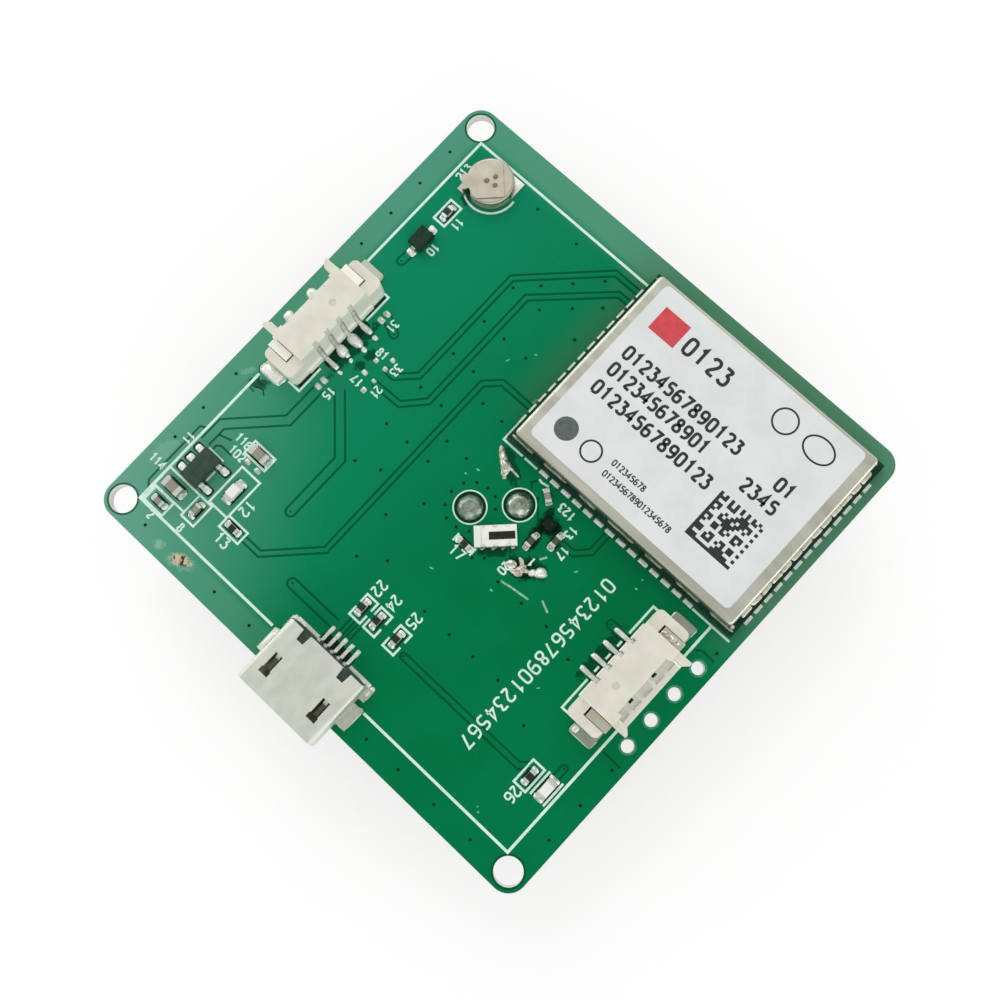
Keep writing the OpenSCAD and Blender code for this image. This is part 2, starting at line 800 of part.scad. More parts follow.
module coupler_terminal_places() {
    for (i = [-1:1], side = [-1, 1])
        translate([i * coupler_pitch, side * coupler_size.y / 2, 0])
            children();
}

module hybrid_coupler() {
    color([0.88, 0.86, 0.85])
        at_coupler()
            difference() {
                block(coupler_size);
                coupler_terminal_places()
                    translate([0, 0, -eps])
                        cylinder(r = coupler_terminal_r, h = coupler_size.z + 2 * eps);
            }
}

// Plated half rounds that fill the notches along the coupler's sides
module coupler_terminals() {
    color([0.72, 0.7, 0.66])
        at_coupler()
            intersection() {
                block(coupler_size);
                coupler_terminal_places()
                    cylinder(r = coupler_terminal_r, h = coupler_size.z);
            }
}

module termination_resistor() {
    color([0.12, 0.13, 0.13])
        translate(from_centre(termination_place))
            end_capped_chip(resistor_size);
}

module low_noise_amplifier() {
    color([0.08, 0.09, 0.09])
        translate(from_centre(amplifier_place))
            moulded_case(amplifier_size, 0);
}

module rf_capacitor_a() {
    color([0.6, 0.55, 0.48])
        translate(from_centre(rf_cap_a_place))
            rotate([0, 0, 90])
                end_capped_chip(small_cap_size);
}

module rf_capacitor_b() {
    color([0.6, 0.55, 0.48])
        translate(from_centre(rf_cap_b_place))
            rotate([0, 0, 90])
                end_capped_chip(small_cap_size);
}

module rf_capacitor_c() {
    color([0.6, 0.55, 0.48])
        translate(from_centre(rf_cap_c_place))
            rotate([0, 0, rf_cap_c_turn])
                end_capped_chip(small_cap_size);
}

// Regulator with three leads on its left and two on its right
module regulator_case() {
    color([0.25, 0.29, 0.26])
        translate(from_left_bottom(regulator_place))
            rotate([0, 0, 90])
                moulded_case(regulator_size, regulator_lead_t);
}

module regulator_leads() {
    lead_z = (regulator_size.z - regulator_lead_t) / 2;
    color([0.8, 0.8, 0.76])
        translate(from_left_bottom(regulator_place)) {
            for (i = [-1:1])
                translate([0, i * regulator_pitch, 0])
                    rotate([0, 0, 180])
                        gull_lead(regulator_size.y / 2, regulator_span / 2, lead_z,
                            regulator_lead_w, regulator_lead_t);
            for (i = [-1, 1])
                translate([0, i * regulator_pitch, 0])
                    gull_lead(regulator_size.y / 2, regulator_span / 2, lead_z,
                        regulator_lead_w, regulator_lead_t);
        }
}

module input_capacitor() {
    color([0.6, 0.55, 0.48])
        translate(from_left_bottom(input_cap_place))
            end_capped_chip(large_cap_size);
}

module output_capacitor() {
    color([0.6, 0.55, 0.48])
        translate(from_left_bottom(output_cap_place))
            end_capped_chip(large_cap_size);
}

module bypass_capacitor_left() {
    color([0.5, 0.46, 0.4])
        translate(from_left_bottom(bypass_left_place))
            end_capped_chip(small_cap_size);
}

module bypass_capacitor_right() {
    color([0.5, 0.46, 0.4])
        translate(from_left_bottom(bypass_right_place))
            rotate([0, 0, 90])
                end_capped_chip(small_cap_size);
}

module power_led() {
    color([0.92, 0.9, 0.86])
        translate(from_left_bottom(power_led_place))
            rotate([0, 0, 90])
                led_chip();
}

module power_led_resistor() {
    color([0.12, 0.13, 0.13])
        translate(from_left_bottom(power_resistor_place))
            end_capped_chip(resistor_size);
}

module status_led() {
    color([0.92, 0.9, 0.86])
        translate(from_right_bottom(status_led_place))
            rotate([0, 0, 90])
                led_chip();
}

module status_led_resistor() {
    color([0.12, 0.13, 0.13])
        translate(from_right_bottom(status_resistor_place))
            rotate([0, 0, 90])
                end_capped_chip(resistor_size);
}

module diode_case() {
    color([0.15, 0.27, 0.2])
        translate(from_left_top(diode_place))
            rotate([0, 0, 90])
                moulded_case(diode_size, 0);
}

module diode_leads() {
    lead_z = diode_size.z / 2 - diode_lead_t;
    color([0.8, 0.8, 0.78])
        translate(from_left_top(diode_place))
            for (turn = [90, 270])
                rotate([0, 0, turn])
                    gull_lead(diode_size.x / 2, diode_span / 2, lead_z, diode_lead_w, diode_lead_t);
}

module cell_resistor() {
    color([0.12, 0.13, 0.13])
        translate(from_left_top(cell_resistor_place))
            rotate([0, 0, 90])
                end_capped_chip(resistor_size);
}

// One of the three resistors behind the USB socket
module usb_resistor(i) {
    color([0.12, 0.13, 0.13])
        translate([usb_resistor_x[i], usb_resistor_y, board_top])
            rotate([0, 0, 90])
                end_capped_chip(resistor_size);
}

module usb_resistor_left() {
    usb_resistor(0);
}

module usb_resistor_middle() {
    usb_resistor(1);
}

module usb_resistor_right() {
    usb_resistor(2);
}

// Repeats along a socket's row of contacts
module along_contacts() {
    for (i = [0:socket_ways - 1])
        translate([0, i * socket_pitch - socket_row / 2, 0])
            children();
}

// Ear with round outer corners, on the +y side of a socket
module socket_ear() {
    linear_extrude(ear_h) {
        translate([0, socket_w / 2 - eps])
            square([ear_d, ear_w - ear_r + eps]);
        translate([ear_r, socket_w / 2])
            square([ear_d - 2 * ear_r, ear_w]);
        for (x = [ear_r, ear_d - ear_r])
            translate([x, socket_w / 2 + ear_w - ear_r])
                circle(ear_r);
    }
}

// Guide arm on the +y side of a socket, narrowing towards its tip, and the roof's step beside it
module socket_arm() {
    outer = socket_w / 2;
    translate([0, 0, socket_h - brow_h])
        linear_extrude(arm_t)
            polygon([
                [roof_d - eps, outer], [arm_d, outer], [arm_d, outer - arm_tip_w],
                [arm_d - socket_wall + arm_tip_w, outer - socket_wall],
                [roof_d - eps, outer - socket_wall]]);
    translate([roof_d - eps, outer - roof_step_w, socket_h - socket_skin])
        cube([roof_step_d + eps, roof_step_w, socket_skin]);
}

// Side-entry housing: rear wall at x = 0, mouth towards +x, standing on z = 0
module socket_housing() {
    cheek_d = (roof_d + floor_d) / 2;
    mouth_w = socket_w - 2 * socket_wall;
    difference() {
        union() {
            carried_profile(socket_w, [
                [-ledge_size.x, 0], [floor_d, 0], [floor_d, socket_skin],
                [cheek_d, cheek_h], [roof_d, socket_h - brow_h],
                [roof_d, socket_h], [0, socket_h],
                [0, ledge_size.y], [-ledge_size.x, ledge_size.y]]);
            for (side = [0, 1])
                mirror([0, side, 0]) {
                    socket_arm();
                    socket_ear();
                }
        }
        translate([rear_wall, -mouth_w / 2, socket_skin])
            cube([floor_d, mouth_w, socket_h - 2 * socket_skin]);
        translate([mould_mark_place.x, mould_mark_place.y, socket_h - mould_mark.y])
            cylinder(d = mould_mark.x, h = mould_mark.y + eps);
        translate([rear_wall, -mouth_w / 2, socket_skin - pocket_h])
            cube([floor_d - lip_d - rear_wall, mouth_w, pocket_h + eps]);
        along_contacts() {
            translate([-ledge_size.x - eps, -groove_w / 2, -eps])
                cube([ledge_size.x + groove_d + eps, groove_w, socket_h + 2 * eps]);
            translate([0, -groove_w / 2, contact_pin_z - contact_w / 2 - socket_clearance])
                cube([rear_wall + eps, groove_w, contact_w + 2 * socket_clearance]);
        }
        for (side = [0, 1])
            mirror([0, side, 0]) {
                translate([roof_d + window_size.x / 2, socket_pitch - window_size.y / 2, -eps])
                    cube([window_size.x, window_size.y, socket_skin + eps]);
                translate([slot_x, socket_w / 2, -eps])
                    cube([slot_l + eps, slot_w, ear_h + 2 * eps]);
                translate([slot_x, socket_w / 2, -eps])
                    cube([slot_l + eps, ear_w + eps, anchor_t + socket_clearance + eps]);
            }
    }
}

// Contacts: a pin in the mouth, a strip down the rear groove and a tail on the board
module socket_contacts() {
    along_contacts()
        carried_profile(contact_w, [
            [-contact_tail, 0], [socket_clearance + contact_t, 0],
            [socket_clearance + contact_t, contact_pin_z - contact_w / 2],
            [floor_d - contact_pin_set_back, contact_pin_z - contact_w / 2],
            [floor_d - contact_pin_set_back, contact_pin_z + contact_w / 2],
            [socket_clearance, contact_pin_z + contact_w / 2],
            [socket_clearance, contact_t], [-contact_tail, contact_t]]);
}

// Anchors: a blade in each slot and a foot soldered outside each ear
module socket_anchors() {
    blade_t = slot_w - 2 * socket_clearance;
    for (side = [0, 1])
        mirror([0, side, 0])
            translate([slot_x + socket_clearance, socket_w / 2 + socket_clearance, 0]) {
                translate([blade_set_back, 0, 0])
                    cube([blade_l, blade_t, anchor_h]);
                cube([anchor_l, ear_w + anchor_reach - socket_clearance, anchor_t]);
            }
}

module at_left_socket() {
    translate([-half + left_socket_rear, left_socket_y, board_top])
        rotate([0, 0, 180])
            children();
}

module at_right_socket() {
    translate([half - right_socket_rear, right_socket_y, board_top])
        children();
}

module left_socket_housing() {
    color([0.88, 0.86, 0.8])
        at_left_socket()
            socket_housing();
}

module left_socket_contacts() {
    color([0.78, 0.76, 0.7])
        at_left_socket()
            socket_contacts();
}

module left_socket_anchors() {
    color([0.82, 0.81, 0.78])
        at_left_socket()
            socket_anchors();
}

module right_socket_housing() {
    color([0.88, 0.86, 0.8])
        at_right_socket()
            socket_housing();
}

module right_socket_contacts() {
    color([0.78, 0.76, 0.7])
        at_right_socket()
            socket_contacts();
}

module right_socket_anchors() {
    color([0.82, 0.81, 0.78])
        at_right_socket()
            socket_anchors();
}

// Section of the USB shell, drawn in by a distance: round upper edges and sloping lower ones
module usb_section(inset) {
    w = usb_w - 2 * inset;
    low = inset;
    high = usb_h - inset;
    r = usb_edge_r - inset;
    slope_drop = inset * usb_slope_rate;
    translate([-w / 2 + r, high - 2 * r])
        square([w - 2 * r, 2 * r]);
    translate([-w / 2, usb_slope.y])
        square([w, high - usb_slope.y - r]);
    for (side = [-1, 1])
        translate([side * (w / 2 - r), high - r])
            circle(r);
    polygon([
        [-w / 2, usb_slope.y + slope_drop], [-w / 2, usb_slope.y],
        [-usb_w / 2 + usb_slope.x + slope_drop, low], [usb_w / 2 - usb_slope.x - slope_drop, low],
        [w / 2, usb_slope.y], [w / 2, usb_slope.y + slope_drop]]);
}

// USB socket's frame: x across, y from the shell's rear towards the mouth, standing on the board
module at_usb() {
    translate([0, usb_rear_y, board_top])
        mirror([0, 1, 0])
            children();
}

// Section carried from the rear to the mouth between two depths
module usb_run(inset, from, to) {
    translate([0, to, 0])
        rotate([90, 0, 0])
            linear_extrude(to - from)
                usb_section(inset);
}

// Foot bent out of the shell's side: an upright and a flat sole on the board
module usb_foot(y, length, reach) {
    for (side = [0, 1])
        mirror([side, 0, 0]) {
            translate([usb_w / 2 - usb_sheet, y, 0])
                cube([usb_sheet, length, usb_slope.y + usb_sheet]);
            translate([usb_w / 2 - usb_sheet, y, 0])
                cube([usb_sheet + reach, length, usb_sheet]);
        }
}

// Spring in a roof slot: a strip that bends down at the slot's rear end and runs on inside the mouth
module usb_spring() {
    rear = usb_l - usb_slot_y - usb_slot_size.y;
    tip = usb_l - usb_slot_y - usb_slot_end.y;
    rotate([0, 0, 90])
        carried_profile(usb_slot_size.x / 2, [
            [rear - eps, usb_h], [rear - eps, usb_h - usb_sheet],
            [rear + usb_spring_bend, usb_h - usb_sheet - usb_spring_dip],
            [tip, usb_h - usb_sheet - usb_spring_dip], [tip, usb_h - usb_spring_dip],
            [rear + usb_spring_bend, usb_h - usb_spring_dip]]);
}

module usb_shell() {
    slot_front = usb_l - usb_slot_y;
    color([0.8, 0.79, 0.76])
        at_usb() {
            difference() {
                usb_run(0, 0, usb_l);
                usb_run(usb_sheet, -eps, usb_l + eps);
                for (side = [-1, 1]) {
                    translate([side * usb_slot_x, slot_front - usb_slot_size.y / 2, usb_h / 2])
                        block([usb_slot_size.x, usb_slot_size.y, usb_h]);
                    translate([side * usb_slot_x, slot_front - usb_slot_end.y / 2, usb_h / 2])
                        block([usb_slot_end.x, usb_slot_end.y, usb_h]);
                    translate([side * usb_notch_x, 0, usb_h - 2 * usb_sheet])
                        linear_extrude(usb_h)
                            polygon([
                                [-usb_notch_size.x / 2, -eps], [usb_notch_size.x / 2, -eps],
                                [usb_notch_end_w / 2, usb_notch_size.y], [-usb_notch_end_w / 2, usb_notch_size.y]]);
                }
            }
            for (side = [-1, 1])
                translate([side * usb_slot_x, 0, 0])
                    usb_spring();
            for (side = [0, 1])
                mirror([side, 0, 0])
                    translate([usb_lip_x[0], -usb_lip_d, 0])
                        cube([usb_lip_x[1] - usb_lip_x[0], usb_lip_d + eps, usb_sheet]);
            usb_foot(usb_foot_y, usb_foot_l, usb_foot_reach);
            usb_foot(0, usb_rear_foot_l, usb_rear_foot_reach);
        }
}

// Insulator: a block that fills the rear of the shell and a tongue in the mouth
module usb_insulator() {
    channel_w = usb_contact_w + 2 * usb_clearance;
    channel_h = usb_contact_t + usb_clearance;
    color([0.2, 0.22, 0.21])
        at_usb()
            difference() {
                union() {
                    usb_run(usb_sheet + usb_clearance, 0, usb_block_d);
                    translate([-usb_tongue_w / 2, 0, usb_tongue_z])
                        cube([usb_tongue_w, usb_l - usb_tongue_set_back, usb_tongue_t]);
                }
                along_usb_contacts()
                    translate([-channel_w / 2, -eps, usb_tongue_z - channel_h])
                        cube([channel_w, usb_block_d + 2 * eps, channel_h]);
            }
}

module along_usb_contacts() {
    for (i = [0:usb_ways - 1])
        translate([i * usb_pitch - usb_row / 2, 0, 0])
            children();
}

// Contacts lie under the tongue, come down behind the shell and lie on the board
module usb_contacts() {
    low = usb_tongue_z - usb_contact_t;
    rear = -usb_clearance - usb_contact_t;
    color([0.8, 0.79, 0.74])
        at_usb()
            along_usb_contacts()
                rotate([0, 0, 90])
                    carried_profile(usb_contact_w, [
                        [-usb_tail, 0], [-usb_clearance, 0],
                        [-usb_clearance, low],
                        [usb_l - usb_tongue_set_back - usb_tongue_t, low],
                        [usb_l - usb_tongue_set_back - usb_tongue_t, usb_tongue_z],
                        [rear, usb_tongue_z],
                        [rear, usb_contact_t], [-usb_tail, usb_contact_t]]);
}

circuit_board();
antenna_upper_patch();
antenna_upper_tile();
antenna_lower_patch();
antenna_lower_tile();
antenna_tapes();
antenna_feed_pins();
feed_solder_domes();
receiver_lands();
receiver_substrate();
receiver_shield();
receiver_label();
receiver_chip();
receiver_memory();
receiver_oscillator();
receiver_filters();
backup_cell();
backup_cell_top_strip();
backup_cell_base_strip();
hybrid_coupler();
coupler_terminals();
termination_resistor();
low_noise_amplifier();
rf_capacitor_a();
rf_capacitor_b();
rf_capacitor_c();
regulator_case();
regulator_leads();
input_capacitor();
output_capacitor();
bypass_capacitor_left();
bypass_capacitor_right();
power_led();
power_led_resistor();
status_led();
status_led_resistor();
diode_case();
diode_leads();
cell_resistor();
usb_resistor_left();
usb_resistor_middle();
usb_resistor_right();
left_socket_housing();
left_socket_contacts();
left_socket_anchors();
right_socket_housing();
right_socket_contacts();
right_socket_anchors();
usb_shell();
usb_insulator();
usb_contacts();
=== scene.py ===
import math

import bmesh
import bpy
import numpy as np
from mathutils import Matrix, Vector


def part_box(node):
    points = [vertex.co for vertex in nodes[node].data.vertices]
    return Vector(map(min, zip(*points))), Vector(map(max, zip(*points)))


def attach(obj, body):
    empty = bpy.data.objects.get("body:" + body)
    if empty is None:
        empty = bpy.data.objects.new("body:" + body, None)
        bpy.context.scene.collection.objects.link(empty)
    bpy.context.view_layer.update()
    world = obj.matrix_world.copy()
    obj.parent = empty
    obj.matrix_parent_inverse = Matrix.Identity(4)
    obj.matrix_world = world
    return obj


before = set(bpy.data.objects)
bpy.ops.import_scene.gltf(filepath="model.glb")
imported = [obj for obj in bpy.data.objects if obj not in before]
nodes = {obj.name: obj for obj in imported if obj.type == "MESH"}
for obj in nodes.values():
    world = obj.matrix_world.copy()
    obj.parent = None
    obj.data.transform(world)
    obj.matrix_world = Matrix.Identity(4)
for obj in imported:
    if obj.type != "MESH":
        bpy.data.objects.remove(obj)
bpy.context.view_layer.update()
scene = bpy.context.scene
scene.view_settings.view_transform = "Standard"
mm = 0.001                       # every size below is in millimetres unless it says otherwise


def boxOf(node):                 # lowest and highest corner of a CAD node, in millimetres
    low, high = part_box(node)
    return np.array(low) / mm, np.array(high) / mm


boardTop = boxOf("circuit_board")[1][2]
substrateTop = boxOf("receiver_substrate")[1][2]
labelTop = boxOf("receiver_label")[1][2]
print("frame loaded:", len(nodes), "nodes, board top at", round(boardTop, 2), "mm")

cameraView = {
    "place": (0.014129, -0.007846, 0.098462),    # metres
    "turn": (8.9035, 2.9288, 42.8428),           # degrees
    "lens": 43.394,
    "sensor": 36.0,
    "nearest": 0.005,
}

eye = bpy.data.cameras.new("photoView")
eye.lens = cameraView["lens"]
eye.sensor_width = cameraView["sensor"]
eye.clip_start = cameraView["nearest"]
eyeHolder = bpy.data.objects.new("photoView", eye)
eyeHolder.location = cameraView["place"]
eyeHolder.rotation_euler = [math.radians(angle) for angle in cameraView["turn"]]
scene.collection.objects.link(eyeHolder)
scene.camera = eyeHolder
print("camera placed")


def tone(red, green, blue):      # 8-bit screen colour to the linear colour that a shader takes
    screen = np.array([red, green, blue]) / 255
    linear = np.where(screen <= 0.04045, screen / 12.92, ((screen + 0.055) / 1.055) ** 2.4)
    return (*linear.tolist(), 1.0)


bench = {}                       # node tree and shader of the finish that is being mixed


def startFinish(name):
    made = bpy.data.materials.new(name)
    made.use_nodes = True
    bench.update(tree=made.node_tree, shader=made.node_tree.nodes["Principled BSDF"])
    return made


def wire(socket, value):         # a value, or a link from another socket
    if isinstance(value, bpy.types.NodeSocket):
        bench["tree"].links.new(value, socket)
    else:
        socket.default_value = value


def addNode(kind, wires, **settings):            # wires: socket name or number -> value or another socket
    added = bench["tree"].nodes.new(kind)
    for key, value in settings.items():
        setattr(added, key, value)
    for key, value in wires.items():
        wire(added.inputs[key], value)
    return added


def feed(**wires):                               # words with _ for the blanks in the shader's socket names
    for key, value in wires.items():
        wire(bench["shader"].inputs[key.replace("_", " ")], value)


def objectPlace():
    return addNode("ShaderNodeTexCoord", {}).outputs["Object"]


def splitPlace(place):
    return addNode("ShaderNodeSeparateXYZ", {0: place}).outputs


def laidOut(place, centre=(0, 0, 0), turn=0, stretch=(1, 1, 1)):
    # the place seen from a turned and stretched set of axes whose origin is the centre (mm)
    return addNode("ShaderNodeMapping", {
        "Vector": place, "Location": [c * mm for c in centre],
        "Rotation": (0, 0, math.radians(turn)), "Scale": stretch}, vector_type="TEXTURE").outputs[0]


def noise(place, size, detail=4.0, rough=0.55):  # size: the width of one cloud in mm
    return addNode("ShaderNodeTexNoise", {
        "Vector": place, "Scale": 1 / (size * mm), "Detail": detail, "Roughness": rough}).outputs[0]


def spread(value, low, high, outLow=0.0, outHigh=1.0):      # soft step from low to high
    return addNode("ShaderNodeMapRange", {
        0: value, 1: low, 2: high, 3: outLow, 4: outHigh}, interpolation_type="SMOOTHSTEP").outputs[0]


def zone(value, ends, share=1.0):                # soft step from 0 to the share between two places given in mm
    return spread(value, ends[0] * mm, ends[1] * mm, 0.0, share)


def work(operation, first, second=0.0):
    return addNode("ShaderNodeMath", {0: first, 1: second}, operation=operation).outputs[0]


def times(first, second):
    return work("MULTIPLY", first, second)


def blend(amount, first, second):
    return addNode("ShaderNodeMix", {0: amount, 6: first, 7: second}, data_type="RGBA").outputs[2]


def bumped(height, depth):       # depth in mm
    return addNode("ShaderNodeBump", {"Height": height, "Distance": depth * mm, "Strength": 1.0}).outputs[0]


ragged = {"fall": 0.22, "edge": (0.22, 0.36)}


def spot(place, x, y, long, wide, turn=0, grain=0.25):
    # a ragged patch round (x, y): fine noise, cut off harder the further out it lies
    local = splitPlace(laidOut(place, (x, y, 0), turn))
    across = times(local[0], 1 / (long * mm))
    along = times(local[1], 1 / (wide * mm))
    reach = work("ADD", times(across, across), times(along, along))
    cut = times(reach, ragged["fall"])
    return spread(work("SUBTRACT", noise(place, grain, 5, 0.7), cut), *ragged["edge"])


def upward():                    # how far a face looks up, from -1 to 1
    return splitPlace(addNode("ShaderNodeNewGeometry", {}).outputs["Normal"])[2]


coat = {
    "deep": tone(0, 117, 68), "mid": tone(0, 124, 76), "sheenGreen": tone(12, 138, 98), "dustAndSheen": tone(112, 172, 146),
    "edge": tone(236, 239, 230), "olive": tone(92, 122, 92), "roughness": (0.28, 0.42), "shine": 0.03,
    "cloud": 9.0, "dust": 0.35, "glossCloud": 1.6, "dustShare": 0.1,     # sizes of the clouds in mm
    "weave": 330, "weaveRise": 0.3, "cloudRise": 6.0, "dustRise": 0.25, "depth": 0.006,
    "sootAndShade": tone(2, 52, 34), "scorch": tone(4, 32, 20), "haze": tone(144, 194, 170), "milky": tone(128, 214, 174),
    "residue": tone(206, 192, 166), "char": tone(78, 60, 44),
    "sheenX": (6.0, -17.0),                      # x where the painted sheen starts and ends turning the coat lighter
    "sheenLine": (-12.0, -38.0), "sheenTilt": 0.55,      # mm along the line where the coat is painted pale with sheen
    "topY": (18.2, 21.4), "topShare": 0.42,
    "rimReach": (18.9, 19.8), "rimShare": 0.5, "rimX": (4.0, -14.0), "rimY": (0.0, 8.0),
    "oliveX": (-5.0, -1.2), "oliveY": (3.0, 9.0), "oliveShare": 0.3,
    "patches": [("sootAndShade", 0.5, 0.75), ("scorch", 0.3, 0.85), ("haze", 0.4, 0.35), ("milky", 0.1, 0.85)],  # grain, share
    # dark spots: soot round the rework and the amplifier, and painted shade at the socket tails and below the coupler
    "sootAndShadeSpots": [
        (-18.6, -6.6, 0.9, 0.4, 35), (-13.75, 0.85, 0.5, 0.4, 80), (-13.75, -0.35, 0.5, 0.35, 80),
        (5.35, 0.35, 0.9, 0.8, 0), (5.0, -0.7, 0.5, 0.9, 0), (6.2, -3.2, 1.5, 0.9, 30), (0.1, 1.7, 1.5, 0.6, -30),
        (-15.0, 0.2, 2.6, 0.5, 90), (3.6, -3.9, 1.3, 0.4, 45), (-16.9, 14.9, 0.6, 0.3, -30), (14.5, -3.9, 0.5, 2.6, 0),
    ],
    "scorchSpots": [
        (5.25, 0.3, 0.8, 0.65, 0), (5.0, -0.5, 0.35, 0.7, 0), (4.75, 1.1, 0.35, 0.5, 20), (5.95, 0.6, 0.5, 0.3, -20),
        (6.4, 0.0, 0.4, 0.5, 0), (5.2, -1.4, 0.5, 0.7, 0), (5.9, -3.4, 1.2, 0.7, 20),
    ],
    "milkySpots": [
        (-1.5, -0.12, 0.16, 0.07, 10), (-4.3, 9.35, 0.12, 0.06, 30), (5.4, -6.1, 0.13, 0.07, 0),
        (9.1, -0.85, 0.14, 0.07, 55), (-2.0, -0.95, 0.1, 0.07, 0), (-5.6, 7.6, 0.16, 0.05, 70),
        (1.0, -7.9, 0.18, 0.05, 15), (12.8, -9.0, 0.14, 0.05, 50), (15.3, -18.2, 0.06, 0.05, 0),
        (15.6, -18.45, 0.07, 0.06, 0), (13.2, 1.2, 0.1, 0.07, 0), (13.1, 2.0, 0.08, 0.06, 0),
    ],
    "hazeSpots": [
        (-15.5, -20.55, 0.5, 0.42, 20), (-15.55, -20.6, 0.34, 0.3, 60), (-15.5, -20.6, 0.3, 0.25, 0),
        (-13.3, -20.4, 1.1, 0.6, 20), (13.62, -1.98, 0.2, 0.18, 0), (-19.9, 0.4, 0.7, 0.4, 70),
        (-19.8, -3.2, 0.8, 0.4, 80), (-19.9, -6.4, 0.6, 0.25, 60), (-20.3, -15.2, 1.2, 0.6, 80),
        (-1.9, 6.6, 0.35, 0.12, 80),
    ],
    "residueSpot": (-13.35, -20.3, 0.86, 0.46, 25), "charSize": 0.45,
}


def coatBase(place):
    # cloudy green with painted sheen: lighter to the left, pale toward one corner and along two rims,
    # with glass weave and dust in the gloss
    clouds = noise(place, coat["cloud"])
    dust = noise(place, coat["dust"], 3)
    x, y = splitPlace(place)[:2]
    colour = blend(spread(clouds, 0.32, 0.68), coat["deep"], coat["mid"])
    # painted sheen: lighter to the left, then pale toward one corner, the top and the rims; the dust specks share the
    # pale colour
    colour = blend(zone(x, coat["sheenX"]), colour, coat["sheenGreen"])
    corner = zone(work("ADD", x, times(y, coat["sheenTilt"])), coat["sheenLine"])
    top = zone(y, coat["topY"], coat["topShare"])
    reach = work("MAXIMUM", work("ABSOLUTE", x), work("ABSOLUTE", y))
    rim = times(zone(reach, coat["rimReach"], coat["rimShare"]),
                work("MAXIMUM", zone(x, coat["rimX"]), zone(y, coat["rimY"])))
    pale = work("MAXIMUM", work("MAXIMUM", corner, top), rim)
    colour = blend(pale, colour, coat["dustAndSheen"])
    colour = blend(spread(dust, 0.66, 0.84, 0.0, coat["dustShare"]), colour, coat["dustAndSheen"])
    weave = times(*(addNode("ShaderNodeTexWave", {
        "Vector": place, "Scale": coat["weave"], "Distortion": 0.6}, bands_direction=way).outputs[1] for way in "XY"))
    height = work("ADD", times(weave, coat["weaveRise"]), times(clouds, coat["cloudRise"]))
    feed(Roughness=spread(noise(place, coat["glossCloud"]), 0.3, 0.7, *coat["roughness"]),
         Specular_IOR_Level=coat["shine"],
         Normal=bumped(work("ADD", height, times(dust, coat["dustRise"])), coat["depth"]))
    return colour


def boardFinish():
    made = startFinish("greenCoat")
    place = objectPlace()
    colour = clean = coatBase(place)
    x, y = splitPlace(place)[:2]
    beside = times(zone(x, coat["oliveX"]), zone(y, coat["oliveY"]))
    colour = blend(times(beside, coat["oliveShare"]), colour, coat["olive"])     # warm beside the shield
    # patches of soot, scorch, haze and milky film; some of the dark spots are painted shade
    for kind, grain, share in coat["patches"]:
        for patch in coat[kind + "Spots"]:
            colour = blend(times(spot(place, *patch, grain), share), colour, coat[kind])
    crust = spot(place, *coat["residueSpot"])
    burnt = spread(noise(place, coat["charSize"], 5, 0.7), 0.5, 0.58)
    colour = blend(crust, colour, blend(burnt, coat["residue"], coat["char"]))
    colour = blend(spread(upward(), 0.3, 0.5), clean, colour)           # the far face has no marks
    colour = blend(spread(work("ABSOLUTE", upward()), 0.3, 0.5), coat["edge"], colour)
    feed(Base_Color=colour)
    return made


def trackFinish():
    made = startFinish("trackCoat")
    feed(Base_Color=coatBase(objectPlace()))
    return made


gap = {"dark": tone(0, 70, 40), "pale": tone(0, 84, 52), "share": 0.8, "cloud": 1.1}


def gapFinish():
    made = startFinish("gapCoat")
    place = objectPlace()
    colour = coatBase(place)
    dark = blend(noise(place, gap["cloud"], 3), gap["dark"], gap["pale"])
    feed(Base_Color=blend(gap["share"], colour, dark))
    return made


def clouded(place, size):        # clouds with a little more contrast
    return spread(noise(place, size), 0.3, 0.7)


def gloss(place, size, roughness):               # roughness in clouds between two values
    return spread(noise(place, size), 0.25, 0.75, *roughness)


def plainFinish(name, dark, pale, cloud, roughness, metal=0.0, grain=0.3, depth=0.004, shine=0.5,
                stretch=(1, 1, 1), speck=None, darkSpot=None, darkSpotTone=(26, 22, 14)):
    # two shades in clouds, an uneven gloss, a fine grain in the surface and, if asked, specks or a dark spot
    made = startFinish(name)
    place = objectPlace()
    drawn = laidOut(place, stretch=stretch)
    colour = blend(clouded(drawn, cloud), tone(*dark), tone(*pale))
    if speck:
        flecks = spread(noise(place, grain * 2, 5, 0.7), 0.63, 0.72, 0.0, 0.7)
        colour = blend(flecks, colour, tone(*speck))
    if darkSpot:
        colour = blend(spot(place, *darkSpot, 0.2), colour, tone(*darkSpotTone))
    feed(Base_Color=colour, Metallic=metal, Specular_IOR_Level=shine,
         Roughness=gloss(drawn, cloud * 0.6, roughness), Normal=bumped(noise(drawn, grain), depth))
    return made


nylon = {"dark": tone(222, 220, 204), "pale": tone(234, 231, 217), "lit": tone(254, 252, 240), "wallShare": 0.38,
         "cloud": 1.8, "glossCloud": 1.1, "roughness": (0.42, 0.58), "grain": 0.12, "depth": 0.004,
         "glow": 0.2, "glowReach": 0.5, "glowTint": (1.0, 0.8, 0.5),
         "floor": (1.6, 1.0)}    # height over the board where the mouth turns pale with painted light


